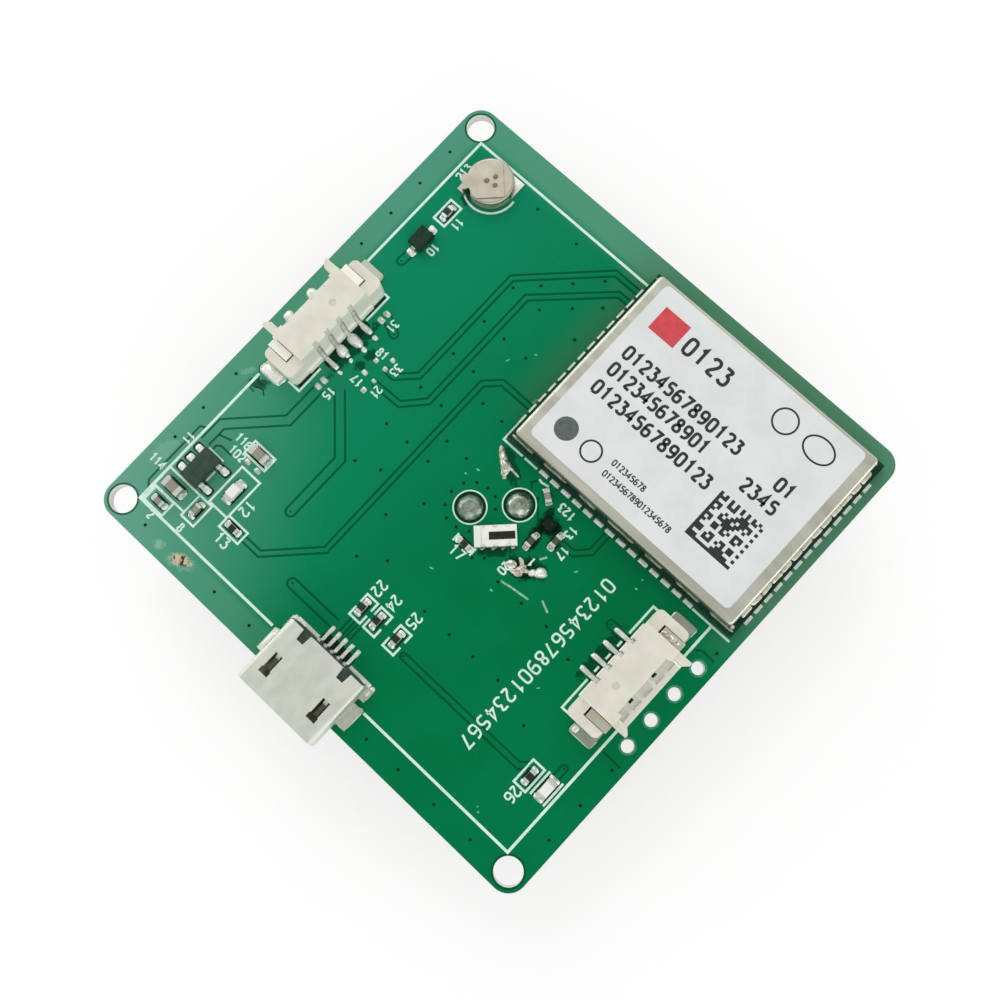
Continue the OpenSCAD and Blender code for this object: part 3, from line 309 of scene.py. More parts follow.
def nylonFinish():
    # ivory moulding with painted light: paler on its walls and in the floor of the mouth, where light comes through it
    made = startFinish("ivoryNylon")
    place = objectPlace()
    colour = blend(clouded(place, nylon["cloud"]), nylon["dark"], nylon["pale"])
    low = zone(splitPlace(place)[2], [boardTop + height for height in nylon["floor"]])
    wall = spread(work("ABSOLUTE", upward()), 0.5, 0.2)
    # painted light on the walls and in the floor of the mouth
    colour = blend(work("MAXIMUM", low, times(wall, nylon["wallShare"])), colour, nylon["lit"])
    feed(Base_Color=colour, Roughness=gloss(place, nylon["glossCloud"], nylon["roughness"]),
         Normal=bumped(noise(place, nylon["grain"]), nylon["depth"]), Subsurface_Weight=nylon["glow"],
         Subsurface_Radius=nylon["glowTint"], Subsurface_Scale=nylon["glowReach"] * mm)
    return made


anchor = {"foot": (0.9, 1.1),     # height over the board where a foot turns into a blade
          "stretch": (3, 1, 1), "cloud": 0.6, "metal": 0.45, "roughness": (0.3, 0.45), "grain": 0.2, "depth": 0.008}


def anchorFinish(name, blades, feet):
    # lit and shaded copies of the tin: two bright shades in the blades above the board, two darker, greener ones in
    # the feet on it, painted shade and reflection of the board
    made = startFinish(name)
    place = objectPlace()
    uneven = noise(laidOut(place, stretch=anchor["stretch"]), anchor["cloud"])
    high = zone(splitPlace(place)[2], [boardTop + height for height in anchor["foot"]])
    feed(Base_Color=blend(high, blend(uneven, *feet), blend(uneven, *blades)),
         Metallic=anchor["metal"], Roughness=spread(uneven, 0.3, 0.7, *anchor["roughness"]),
         Normal=bumped(noise(place, anchor["grain"]), anchor["depth"]))
    return made


shell = {
    "dark": tone(210, 214, 201), "pale": tone(223, 226, 214), "inside": tone(94, 96, 78), "insideDepth": 0.42,
    "halfInside": 3.3, "rearLip": -17.42, "tinAndHighlight": tone(240, 242, 236), "grey": tone(172, 178, 165),
    "footTop": 0.35, "halfOutside": 3.74, "lipWidth": 0.3, "stretch": (1, 1.6, 1), "cloud": 1.2, "footCloud": 0.3,
    "metal": 0.75, "roughness": (0.46, 0.58), "grain": 0.2, "depth": 0.005,
}


def usbFinish():
    # rubbed nickel: tinned at the rear lip, with a painted highlight there, and at the left feet, duller at the right
    # feet, painted shade deep inside
    made = startFinish("usbNickel")
    place = objectPlace()
    x, y, z = splitPlace(place)
    cloud = clouded(laidOut(place, stretch=shell["stretch"]), shell["cloud"])
    top = boxOf("usb_shell")[1][2]
    colour = blend(cloud, shell["dark"], shell["pale"])
    foot = blend(work("GREATER_THAN", x, 0.0), shell["tinAndHighlight"],
                 blend(noise(place, shell["footCloud"]), shell["grey"], shell["pale"]))
    outside = work("GREATER_THAN", work("ABSOLUTE", x), shell["halfOutside"] * mm)
    low = work("LESS_THAN", z, (boardTop + shell["footTop"]) * mm)
    colour = blend(times(outside, low), colour, foot)
    # the rear lip: tin with a painted highlight
    colour = blend(work("GREATER_THAN", y, shell["rearLip"] * mm), colour, shell["tinAndHighlight"])
    # painted shade deep inside the shell, in front of the rear lip
    deep = work("LESS_THAN", z, (top - shell["insideDepth"]) * mm)
    narrow = work("LESS_THAN", work("ABSOLUTE", x), shell["halfInside"] * mm)
    behind = work("LESS_THAN", y, (shell["rearLip"] - shell["lipWidth"]) * mm)
    shadedHollow = times(deep, times(narrow, behind))
    feed(Base_Color=blend(shadedHollow, colour, shell["inside"]), Metallic=shell["metal"],
         Roughness=spread(cloud, 0.0, 1.0, *shell["roughness"]),
         Normal=bumped(noise(place, shell["grain"]), shell["depth"]))
    return made


finishes = {
    "board": boardFinish(),
    "track": trackFinish(),
    "gap": gapFinish(),
    "print": plainFinish("whiteInk", (206, 240, 226), (232, 252, 243), 0.6, (0.5, 0.65), grain=0.12),
    "via": plainFinish("viaWell", (0, 40, 24), (4, 58, 37), 0.2, (0.55, 0.7), grain=0.1, shine=0.1),
    # dark beds: mask clearance round the chips made darker as painted shade; the tail and lead beds are painted shade
    "bed": plainFinish("clearanceAndShade", (0, 40, 24), (0, 62, 40), 0.4, (0.4, 0.6), grain=0.12, shine=0.1),
    "scuff": plainFinish("darkScuff", (6, 50, 34), (18, 66, 48), 0.3, (0.55, 0.7), grain=0.1, shine=0.1),
    "laminate": plainFinish("laminateEdge", (0, 46, 30), (8, 66, 44), 0.7, (0.4, 0.6), grain=0.15, shine=0.15),
    "tin": plainFinish("tinPlate", (214, 215, 206), (246, 247, 240), 0.5, (0.24, 0.42), 0.7, 0.2, 0.006),
    "solder": plainFinish("solderSkin", (178, 184, 174), (234, 236, 228), 0.35, (0.16, 0.4), 0.9, 0.25, 0.02),
    "wet": plainFinish("brightSolder", (224, 230, 221), (251, 253, 248), 0.3, (0.18, 0.4), 0.4, 0.22, 0.02),
    # seam solder in darker shades: painted shade at the foot of the shield
    "seam": plainFinish("seamSolderInShade", (122, 126, 110), (186, 187, 170), 0.5, (0.25, 0.45), 0.7, 0.25, 0.02),
    "flange": plainFinish("flangeTin", (206, 197, 180), (234, 228, 214), 0.4, (0.25, 0.42), 0.4, 0.2, 0.01),
    # grey-green solder: its green tint and darkness are painted reflection of the board
    "dome": plainFinish("reflectionTintedSolder", (114, 134, 120), (184, 193, 178), 0.5, (0.14, 0.34), 1.0, 0.3, 0.03),
    "flux": plainFinish("burntFlux", (150, 134, 108), (236, 231, 214), 0.2, (0.16, 0.36), 0.4, 0.2, 0.03,
                        speck=(104, 66, 50)),
    "fluxedTin": plainFinish("fluxedSolder", (164, 156, 130), (248, 248, 240), 0.24, (0.12, 0.34), 0.6, 0.2, 0.03,
                             speck=(64, 58, 36)),
    "scratch": plainFinish("scratchedCoat", (112, 176, 142), (170, 206, 180), 0.3, (0.6, 0.75), grain=0.1),
    "shield": plainFinish("shieldSteel", (190, 191, 175), (212, 212, 196), 1.4, (0.26, 0.42), 1.0, 0.25,
                          0.004, stretch=(6, 1, 1)),
    "label": plainFinish("labelFilm", (224, 229, 228), (232, 237, 235), 3.0, (0.42, 0.55), grain=0.1,
                         depth=0.002),
    "ink": plainFinish("labelInk", (24, 26, 28), (40, 42, 44), 0.5, (0.45, 0.6), grain=0.1, depth=0.001),
    "greyInk": plainFinish("dotInk", (80, 90, 86), (98, 106, 102), 0.5, (0.45, 0.6), grain=0.1, depth=0.001),
    "redInk": plainFinish("redInk", (206, 58, 66), (218, 74, 78), 0.6, (0.45, 0.6), grain=0.1, depth=0.001),
    "cell": plainFinish("cellSteel", (178, 171, 154), (198, 191, 174), 1.6, (0.3, 0.44), 1.0, 0.15, 0.003,
                        darkSpot=(-16.68, 15.12, 0.3, 0.18, -35)),
    "ceramicWhite": plainFinish("firedWhite", (236, 239, 232), (246, 248, 243), 0.8, (0.5, 0.65), grain=0.08,
                                speck=(204, 202, 196)),
    "chipBlack": plainFinish("chipEpoxy", (24, 25, 26), (38, 39, 40), 0.5, (0.45, 0.62), grain=0.06),
    "sootyChip": plainFinish("sootyChip", (4, 22, 13), (18, 40, 26), 0.35, (0.4, 0.6), grain=0.2, depth=0.02,
                             shine=0.15),
    "halo": plainFinish("ringedCoat", (24, 126, 90), (88, 158, 130), 0.3, (0.4, 0.6), grain=0.1, shine=0.1),
    "dimple": plainFinish("mouldMark", (206, 203, 186), (220, 217, 201), 0.2, (0.5, 0.62), grain=0.1),
    "markInk": plainFinish("couplerInk", (34, 32, 20), (48, 46, 32), 0.4, (0.4, 0.55), grain=0.08, shine=0.2),
    "case": plainFinish("caseEpoxy", (44, 66, 52), (56, 78, 62), 0.5, (0.5, 0.64), grain=0.06, depth=0.006,
                        shine=0.25),
    "diode": plainFinish("diodeEpoxy", (20, 50, 34), (32, 62, 44), 0.5, (0.5, 0.64), grain=0.06, depth=0.006,
                         shine=0.15),
    "weld": plainFinish("weldSpot", (112, 100, 78), (140, 128, 104), 0.15, (0.4, 0.55), 0.5, 0.08),
    "crystal": plainFinish("crystalLid", (186, 180, 160), (206, 202, 184), 0.8, (0.25, 0.4), 1.0),
    "nylon": nylonFinish(),
    "leftAnchors": anchorFinish("leftAnchorTin", (tone(248, 246, 230), tone(254, 253, 244)),
                                (tone(172, 186, 164), tone(206, 212, 196))),
    "rightAnchors": anchorFinish("rightAnchorTin", (tone(176, 174, 150), tone(212, 210, 190)),
                                 (tone(121, 134, 115), tone(178, 182, 168))),
    "usbSteel": usbFinish(),
    "usbNylon": plainFinish("usbNylon", (36, 50, 43), (58, 74, 64), 0.5, (0.45, 0.6), grain=0.08),
    "tile": plainFinish("tileCeramic", (203, 193, 172), (211, 201, 181), 1.8, (0.55, 0.7), grain=0.15,
                        speck=(178, 168, 148)),
    "silver": plainFinish("silverPaste", (207, 207, 201), (218, 218, 212), 0.8, (0.32, 0.5), 1.0, 0.12, 0.006),
    "tape": plainFinish("foamTape", (218, 218, 212), (232, 232, 226), 0.8, (0.6, 0.75), grain=0.15, depth=0.02),
}
print("finishes mixed:", len(finishes))


def dress(node, finish):
    nodes[node].data.materials.clear()
    nodes[node].data.materials.append(finish)


def ease(node, width, segments=2):               # joins the loose triangles, then rounds the sharp edges
    weld = nodes[node].modifiers.new("join", "WELD")
    weld.merge_threshold = 0.0005 * mm
    bevel = nodes[node].modifiers.new("ease", "BEVEL")
    bevel.width = width * mm
    bevel.segments = segments
    bevel.limit_method = "ANGLE"
    bevel.angle_limit = math.radians(40)
    bevel.use_clamp_overlap = True


dressing = {
    "circuit_board": ("board", 0), "receiver_substrate": ("laminate", 0), "receiver_lands": ("wet", 0),
    "antenna_upper_tile": ("tile", 0.08), "antenna_lower_tile": ("tile", 0.08),
    "antenna_upper_patch": ("silver", 0), "antenna_lower_patch": ("silver", 0), "antenna_tapes": ("tape", 0),
    "antenna_feed_pins": ("dome", 0), "feed_solder_domes": ("dome", 0), "receiver_shield": ("shield", 0),
    "receiver_label": ("label", 0), "receiver_chip": ("chipBlack", 0.03), "receiver_memory": ("chipBlack", 0.03),
    "receiver_oscillator": ("crystal", 0.03), "receiver_filters": ("ceramicWhite", 0.03),
    "backup_cell": ("cell", 0), "backup_cell_top_strip": ("cell", 0.02), "backup_cell_base_strip": ("tin", 0.02),
    "hybrid_coupler": ("ceramicWhite", 0.03), "coupler_terminals": ("tin", 0),
    "low_noise_amplifier": ("sootyChip", 0.03), "regulator_case": ("case", 0.04), "regulator_leads": ("tin", 0.02),
    "diode_case": ("diode", 0.04), "diode_leads": ("tin", 0.02),
    "left_socket_housing": ("nylon", 0.05), "left_socket_contacts": ("tin", 0.02),
    "left_socket_anchors": ("leftAnchors", 0.02),
    "right_socket_housing": ("nylon", 0.05), "right_socket_contacts": ("tin", 0.02),
    "right_socket_anchors": ("rightAnchors", 0.02),
    "usb_shell": ("usbSteel", 0.03), "usb_insulator": ("usbNylon", 0.03), "usb_contacts": ("tin", 0.01),
}
for node, (finish, easing) in dressing.items():
    dress(node, finishes[finish])
    if easing:
        ease(node, easing)
print("solids dressed:", len(dressing))

chips = {
    "capShare": 0.24, "resistorCap": 0.22, "lightCap": 0.17, "capBlur": 0.01, "easing": 0.025,
    "resistorBody": (tone(200, 198, 190), tone(222, 220, 212)), "glaze": tone(14, 18, 16),
    "lightBody": (tone(236, 238, 230), tone(250, 251, 246)),
    "slantedTurn": -36.0, "slantedSize": (1.0, 0.5, 0.5),
    "bodyCloud": 0.25, "tinCloud": 0.3, "grain": 0.2, "roughness": (0.26, 0.46), "depth": 0.012,
    "tinDark": tone(190, 192, 184), "tinPale": tone(240, 241, 234),
    "resistors": ["cell_resistor", "termination_resistor", "power_led_resistor", "status_led_resistor",
                  "usb_resistor_left", "usb_resistor_middle", "usb_resistor_right"],
    "capacitors": ["input_capacitor", "output_capacitor", "bypass_capacitor_left", "bypass_capacitor_right",
                   "rf_capacitor_a", "rf_capacitor_b", "rf_capacitor_c"],
    "lights": ["power_led", "status_led"],
    "capacitorBody": (tone(132, 130, 112), tone(160, 156, 138)),
    "sooty": ["rf_capacitor_a", "rf_capacitor_b"], "sootyBody": (tone(36, 48, 36), tone(84, 90, 72)),
}


def chipFrame(node):             # centre, turn, length, width and height of a chip, from its CAD box
    low, high = boxOf(node)
    size = high - low
    if node == "rf_capacitor_c":
        return (low + high) / 2, chips["slantedTurn"], *chips["slantedSize"]
    if size[1] > size[0]:
        return (low + high) / 2, 90.0, size[1], size[0], size[2]
    return (low + high) / 2, 0.0, size[0], size[1], size[2]


def chipFinish(node, sideDark, sidePale, top, capShare):
    # the body between the ends has its own colour, black glaze on top where one is given, and both ends are tinned
    made = startFinish(node + "Skin")
    centre, turn, length, width, height = chipFrame(node)
    place = objectPlace()
    local = splitPlace(laidOut(place, centre, turn))
    edge, blur = (0.5 - capShare) * length * mm, chips["capBlur"] * mm
    cap = spread(work("ABSOLUTE", local[0]), edge - blur, edge + blur)
    body = blend(noise(place, chips["bodyCloud"]), sideDark, sidePale)
    if top:
        body = blend(spread(upward(), 0.6, 0.8), body, top)
    tin = blend(noise(place, chips["tinCloud"]), chips["tinDark"], chips["tinPale"])
    uneven = noise(place, chips["grain"])
    feed(Base_Color=blend(cap, body, tin), Metallic=cap,
         Roughness=spread(uneven, 0.3, 0.7, *chips["roughness"]), Normal=bumped(uneven, chips["depth"]))
    return made


for node in chips["resistors"] + chips["capacitors"] + chips["lights"]:
    if node in chips["resistors"]:
        skin = (*chips["resistorBody"], chips["glaze"], chips["resistorCap"])
    elif node in chips["lights"]:
        skin = (*chips["lightBody"], None, chips["lightCap"])
    else:
        skin = (*chips["sootyBody" if node in chips["sooty"] else "capacitorBody"], None, chips["capShare"])
    dress(node, chipFinish(node, *skin))
    ease(node, chips["easing"])
print("chips dressed")


def putPiece(name, parts, finish, crease=40):
    # stacks the parts' points, shifts their face numbers to match, and turns every face outward
    points, faces, start = [], [], 0
    for partPoints, partFaces in parts:
        points.append(partPoints)
        for block in partFaces:
            faces += (np.asarray(block) + start).tolist()
        start += len(partPoints)
    mesh = bpy.data.meshes.new(name)
    mesh.from_pydata(np.concatenate(points) * mm, [], faces)
    surface = bmesh.new()
    surface.from_mesh(mesh)
    bmesh.ops.recalc_face_normals(surface, faces=surface.faces)
    surface.to_mesh(mesh)
    surface.free()
    mesh.shade_smooth()
    mesh.set_sharp_from_angle(angle=math.radians(crease))
    mesh.materials.append(finishes[finish])
    piece = bpy.data.objects.new(name, mesh)
    scene.collection.objects.link(piece)
    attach(piece, "root")
    print("made", name, len(mesh.polygons), "faces")


def ribbon(path, profile, base, closed=False):
    # carries a closed profile of (side, height) pairs along a flat path: each path point is moved sideways
    # along the bisector of its two legs, stretched so that the width holds through the corner
    path, profile = np.asarray(path, float), np.asarray(profile, float)
    legs = np.diff(np.vstack([path, path[:1]]) if closed else path, axis=0)
    legs /= np.linalg.norm(legs, axis=1, keepdims=True)
    before = np.roll(legs, 1, axis=0) if closed else np.vstack([legs[:1], legs])
    after = legs if closed else np.vstack([legs, legs[-1:]])
    middle = before + after
    middle /= np.maximum(np.linalg.norm(middle, axis=1, keepdims=True), 1e-9)
    stretch = 1 / np.maximum((middle * after).sum(1), 0.4)
    side = np.stack([-middle[:, 1], middle[:, 0]], 1) * stretch[:, None]
    flat = path[:, None] + side[:, None] * profile[None, :, :1]
    high = np.broadcast_to(base + profile[:, 1], flat.shape[:2])
    points = np.concatenate([flat, high[..., None]], 2).reshape(-1, 3)
    rows, count = flat.shape[:2]
    index = np.arange(rows * count).reshape(rows, count)
    nextRow = np.roll(index, -1, axis=0) if closed else index[1:]
    thisRow = index if closed else index[:-1]
    quads = np.stack([thisRow, np.roll(thisRow, -1, 1), np.roll(nextRow, -1, 1), nextRow], 2).reshape(-1, 4)
    return points, [quads] if closed else [quads, index[:1], index[-1:, ::-1]]


def mound(x, y, long, wide, height, base, turn=0.0, square=2.0, bulge=2.0, soften=0.8, wobble=0.0, rings=6, spokes=24):
    # radius runs from the crown to the rim and an angle round it: the rim is a superellipse with the half
    # sizes long and wide, made uneven by two waves, and the height falls as (1 - radius^bulge)^soften
    angle = np.linspace(0, 2 * np.pi, spokes, endpoint=False)
    radius = np.linspace(0, 1, rings + 1)[1:, None]
    rim = (np.abs(np.cos(angle)) ** square + np.abs(np.sin(angle)) ** square) ** (-1 / square)
    rim = rim * (1 + wobble * (np.sin(2 * angle + 7 * x + 3 * y) + 0.7 * np.sin(3 * angle + 5 * x - 4 * y)))
    rise = (1 - radius ** bulge) ** soften
    across = radius * rim * np.cos(angle) * long
    along = radius * rim * np.sin(angle) * wide
    cosine, sine = math.cos(math.radians(turn)), math.sin(math.radians(turn))
    ringPoints = np.stack([x + across * cosine - along * sine, y + across * sine + along * cosine,
                           base + np.broadcast_to(rise * height, across.shape)], 2).reshape(-1, 3)
    points = np.vstack([(x, y, base + height), ringPoints])
    index = 1 + np.arange(rings * spokes).reshape(rings, spokes)
    turned = np.roll(index, -1, axis=1)
    fan = np.stack([np.zeros(spokes, int), index[0], turned[0]], 1)
    quads = np.stack([index[:-1], index[1:], turned[1:], turned[:-1]], 2).reshape(-1, 4)
    return points, [fan, quads, index[-1:, ::-1]]


def mounds(rows, base, **shape):         # one mound for each row of place, half sizes, height and, if given, turn
    return [mound(*row[:5], base, *row[5:], **shape) for row in rows]


def circle(x, y, radius, start=0.0, end=360.0, steps=48):  # points of an arc, the end point only if it is open
    angle = np.radians(np.linspace(start, end, steps, endpoint=abs(end - start) < 360))
    return np.stack([x + radius * np.cos(angle), y + radius * np.sin(angle)], 1)


def strip(width, height):        # a flat line with sloping sides
    return [(-width / 2, 0), (-width / 2 + height, height), (width / 2 - height, height), (width / 2, 0)]


def flatLines(paths, width, height, base=boardTop):        # one line on each path
    return [ribbon(path, strip(width, height), base) for path in paths]


def flatRings(rings, width, height):             # rings: x, y and radius
    return [ribbon(circle(*ring), strip(width, height), boardTop, True) for ring in rings]


def ridge(width, height):        # a softly rounded bank
    side = np.linspace(-1, 1, 9)
    return np.stack([side * width / 2, height * (1 - side ** 4)], 1)


def sidestep(path, distance):    # the path moved sideways, with the same corner rule as the ribbon
    points, _ = ribbon(path, [(distance, 0), (distance, 0), (distance, 0)], 0)
    return points[::3, :2]


def hairpin(path, distance):     # down one side of the path, round its last point and back up the other side
    heading = math.degrees(math.atan2(path[-1][1] - path[-2][1], path[-1][0] - path[-2][0]))
    bend = circle(*path[-1], distance, heading + 89, heading - 89, 13)
    return np.vstack([sidestep(path, distance)[:-1], bend, sidestep(path, -distance)[-2::-1]])


tracks = {
    "height": 0.02, "gapWidth": 0.17, "gapHeight": 0.006, "endShare": 0.98,
    "open": [    # width and path
        (0.3, [(-1.5, 18.2), (-4.1, 18.2), (-9.8, 12.6), (-9.8, 2.2), (-11.2, 0.8), (-12.0, 0.8)]),
        (0.3, [(-1.5, 17.1), (-2.8, 17.1), (-7.9, 12.2), (-7.9, 1.2), (-9.4, -0.45), (-12.0, -0.55)]),
        (0.3, [(-1.5, 6.05), (-4.7, 6.05), (-5.8, 4.95), (-5.8, -12.3), (-9.3, -15.9), (-11.4, -15.9)]),
        (0.2, [(-0.65, -14.6), (-0.65, -16.2)]),
        (0.2, [(0.0, -14.6), (0.0, -16.2)]),
        (0.3, [(6.6, 0.0), (8.0, 0.0), (8.95, 1.0), (8.95, 2.9)]),
        (0.62, [(-14.85, -3.6), (-14.85, -7.1), (-18.45, -10.75), (-18.45, -12.6)]),
    ],
    "toVia": [   # width and path, the last point is the via
        (0.62, [(-13.6, -2.7), (-9.8, -6.6), (-9.8, -12.0)]),
        (0.62, [(-1.4, -15.8), (-5.9, -15.8)]),
        (0.34, [(16.2, -13.4), (15.5, -14.05), (3.95, -14.05)]),
        (0.34, [(18.05, -13.2), (18.05, -11.95)]),
        (0.5, [(-17.05, 9.0), (-17.15, 7.9)]),
        (0.5, [(-14.9, 3.9), (-13.5, 3.25)]),
        (0.5, [(14.4, -1.98), (13.62, -1.98)]),
    ],
    "loneGaps": [
        [(-19.15, -11.75), (-19.6, -12.0), (-19.6, -17.6), (-19.15, -18.1)],
        [(-17.6, -12.6), (-17.6, -12.25), (-17.3, -12.0), (-16.2, -12.0)],
        [(-18.05, -11.5), (-17.0, -11.15)],
        [(3.2, 1.4), (4.4, 0.1)],
        [(2.4, 2.3), (2.1, 1.9), (2.5, 1.5)],
        [(19.3, 0.75), (19.75, 1.1), (20.9, 1.05)], [(19.3, -9.15), (21.0, -9.2)],
    ],
}
gapWidth = tracks["gapWidth"]
trackParts, gapPaths = [], list(tracks["loneGaps"])
for width, path in tracks["open"] + tracks["toVia"]:
    trackParts.append(ribbon(path, ridge(width, tracks["height"]), boardTop))
for width, path in tracks["open"]:
    gapPaths += [sidestep(path, side * (width + gapWidth) / 2) for side in (-1, 1)]
for width, path in tracks["toVia"]:
    trackParts.append(mound(*path[-1], width / 2, width / 2, tracks["height"] * tracks["endShare"], boardTop, bulge=6))
    gapPaths.append(hairpin(path, (width + gapWidth) / 2))
putPiece("board_tracks", trackParts, "track")
putPiece("track_gaps", flatLines(gapPaths, gapWidth, tracks["gapHeight"]), "gap")

vias = {
    "radius": 0.13, "height": 0.024, "lip": 0.2, "lipWidth": 0.1, "lipHeight": 0.014,
    "spots": [(-20.45, y) for y in (16.95, 13.5, 10.2, 6.85, -7.2, -10.8, -13.9)]
    + [(-12.1, 18.05), (-7.95, 17.95), (-4.3, 17.2), (-3, 15.5), (-6, 15.4), (-4.7, 13.9), (-7.7, 13.65)]
    + [(-2.9, 12.2), (-6.5, 12.15), (-9.2, 12.1), (-9.05, 8.65), (-6.95, 8.65), (-4.7, 8.65), (-9.05, 5.2)]
    + [(-6.95, 5.2), (-4.7, 3.85), (-2.7, 3.8), (-9.1, 1.6), (-6.95, 1.6), (-4.75, -0.1)]
    + [(-2.75, -0.1), (-9.1, -2.2), (-6.95, -2.2), (-4.75, -2.2), (-1.85, -2.7), (-1.6, -1.6), (-0.9, -0.9)]
    + [(0, -0.65), (0.85, -0.75), (1.5, -1.45), (-1.5, -3.75), (-0.75, -4.4), (0.25, -4.4), (1.2, -4.0)]
    + [(-2.75, -4.75), (-6.95, -5.1), (-8.9, -5.9), (-4.3, -7.3), (-1.8, -9.75), (-3.75, -11.05), (2.7, -5.3)]
    + [(x, -10.6) for x in (2.85, 5.35, 7.75, 10.25)] + [(x, -5.3) for x in (5.35, 7.7, 10.2)]
    + [(x, -20.25) for x in (-17.3, -9.8, -6.1, 6.1, 9.3, 12.9, 16.5)]
    + [(20.65, y) for y in (-16.4, -13.1, -9.7, 1.65)] + [(13.85, -11.7), (3.4, -4.7), (13, -6)],
}
endVias = [path[-1] for width, path in tracks["toVia"]]
putPiece("via_wells", [mound(x, y, vias["radius"], vias["radius"], vias["height"], boardTop, rings=2, spokes=12,
                             bulge=6) for x, y in vias["spots"] + endVias], "via")
putPiece("via_lips", [ribbon(circle(x, y, vias["lip"], steps=16), ridge(vias["lipWidth"], vias["lipHeight"]),
                             boardTop, True) for x, y in vias["spots"]], "track")

collars = {      # edge of the coating round every drilled hole: place and radius of each hole
    "line": 0.16, "height": 0.007,
    "fixing": [(-20.0, 20.0, 1.1), (-20.0, -20.0, 1.1), (20.0, -20.0, 1.1)],
    "header": [(20.35, -3.87 + step * 2.54, 0.5) for step in (-1.5, -0.5, 0.5, 1.5)],
}
for name, holes, finish in (("hole_collars", "fixing", "gap"), ("header_collars", "header", "halo")):
    rings = [(x, y, radius + collars["line"] / 2) for x, y, radius in collars[holes]]
    putPiece(name, flatRings(rings, collars["line"], collars["height"]), finish)


def boxPath(left, right, low, high):             # the four corners of an upright box
    return [(left, low), (right, low), (right, high), (left, high)]


printing = {
    "line": 0.18, "height": 0.018, "frameLine": 0.22, "frameHeight": 0.014, "boxHeight": 0.022, "boxStep": 0.0008,
    "barHeight": 0.026, "moatHeight": 0.008, "pinRadius": 0.45,
    "frame": [
        [(-1.3, 19.1), (-19.1, 19.1), (-19.1, 6.0)],
        [(-19.1, -6.0), (-19.1, -19.05), (-4.8, -19.05)],
        [(4.65, -19.05), (19.05, -19.05), (19.05, 2.85)],
    ],
    "boxes": [
        (-17.68, -16.57, 12.16, 14.12), (-13.05, -11.05, -16.5, -15.4), (-14.95, -13.05, -15.65, -12.05),
        (-19.05, -15.8, -17.55, -15.8), (-15.8, -14.5, -17.85, -15.8), (-19.1, -16.85, -18.9, -17.6),
        (-15.6, -13.45, -11.15, -9.95), (16.0, 17.12, -15.1, -13.0),
    ],
    "lines": [
        [(-1.65, 4.6), (-1.65, 2.9), (0.3, 2.9)], [(0.5, 2.9), (1.75, 2.9)], [(17.2, 2.9), (20.75, 2.9)],
        [(17.46, -12.8), (17.46, -14.95)], [(18.72, -12.8), (18.72, -14.95)],
        [(-17.9, -12.75), (-16.3, -12.75)], [(-16.25, -13.7), (-16.25, -14.7)],
        [(-16.7, 5.1), (-15.85, 5.1), (-15.85, 2.6)], [(-15.85, -2.5), (-15.85, -4.9), (-17.0, -4.9)],
        [(15.9, 1.1), (15.0, 1.1), (15.0, -1.55)], [(15.0, -6.1), (15.0, -8.85), (16.2, -8.85)],
        [(15.0, -2.35), (15.0, -2.85)], [(15.0, -3.6), (15.0, -4.1)], [(15.0, -4.85), (15.0, -5.35)],
        [(2.4, 2.45), (2.7, 2.38), (3.3, 2.5)], [(0.75, -4.6), (0.75, -5.3)], [(2.45, -4.6), (2.45, -5.3)],
    ],
    "splitBoxes": [(-1.18, -0.1, -14.52, -12.54), (0.25, 1.37, -14.52, -12.54), (2.24, 3.34, -14.52, -12.54)],
    "splitLow": -13.75, "splitHigh": -13.3,
    "cellArc": (-16.05, 16.95, 2.15, -122.0, 8.0),
    "feedRing": 1.27, "feedRingLine": 0.11, "feedMoat": 1.09, "feedMoatLine": 0.2,
    "thickBar": (-18.93, -18.28, 0.24, 0.72),
}
printParts = flatLines(printing["frame"], printing["frameLine"], printing["frameHeight"])
for number, sides in enumerate(printing["boxes"]):         # neighbours share a side, so each is a hair higher
    height = printing["boxHeight"] + number * printing["boxStep"]
    printParts.append(ribbon(boxPath(*sides), strip(printing["line"], height), boardTop, True))
linePaths = list(printing["lines"])
for left, right, low, high in printing["splitBoxes"]:      # two brackets with a break at the middle of each side
    for far, near in ((low, printing["splitLow"]), (high, printing["splitHigh"])):
        linePaths.append([(left, near), (left, far), (right, far), (right, near)])
linePaths.append(circle(*printing["cellArc"]))
printParts += flatLines(linePaths, printing["line"], printing["height"])
printParts.append(mound(*printing["thickBar"], printing["barHeight"], boardTop, square=16, bulge=16, spokes=32))
feedLow, feedHigh = boxOf("antenna_feed_pins")
feedSpots = [(0.0, feedLow[1] + printing["pinRadius"]), (feedHigh[0] - printing["pinRadius"], 0.0)]
printParts += flatRings([(x, y, printing["feedRing"]) for x, y in feedSpots], printing["feedRingLine"],
                        printing["height"])
putPiece("board_print", printParts, "print")
putPiece("feed_moats", flatRings([(x, y, printing["feedMoat"]) for x, y in feedSpots], printing["feedMoatLine"],
                                 printing["moatHeight"]), "via")

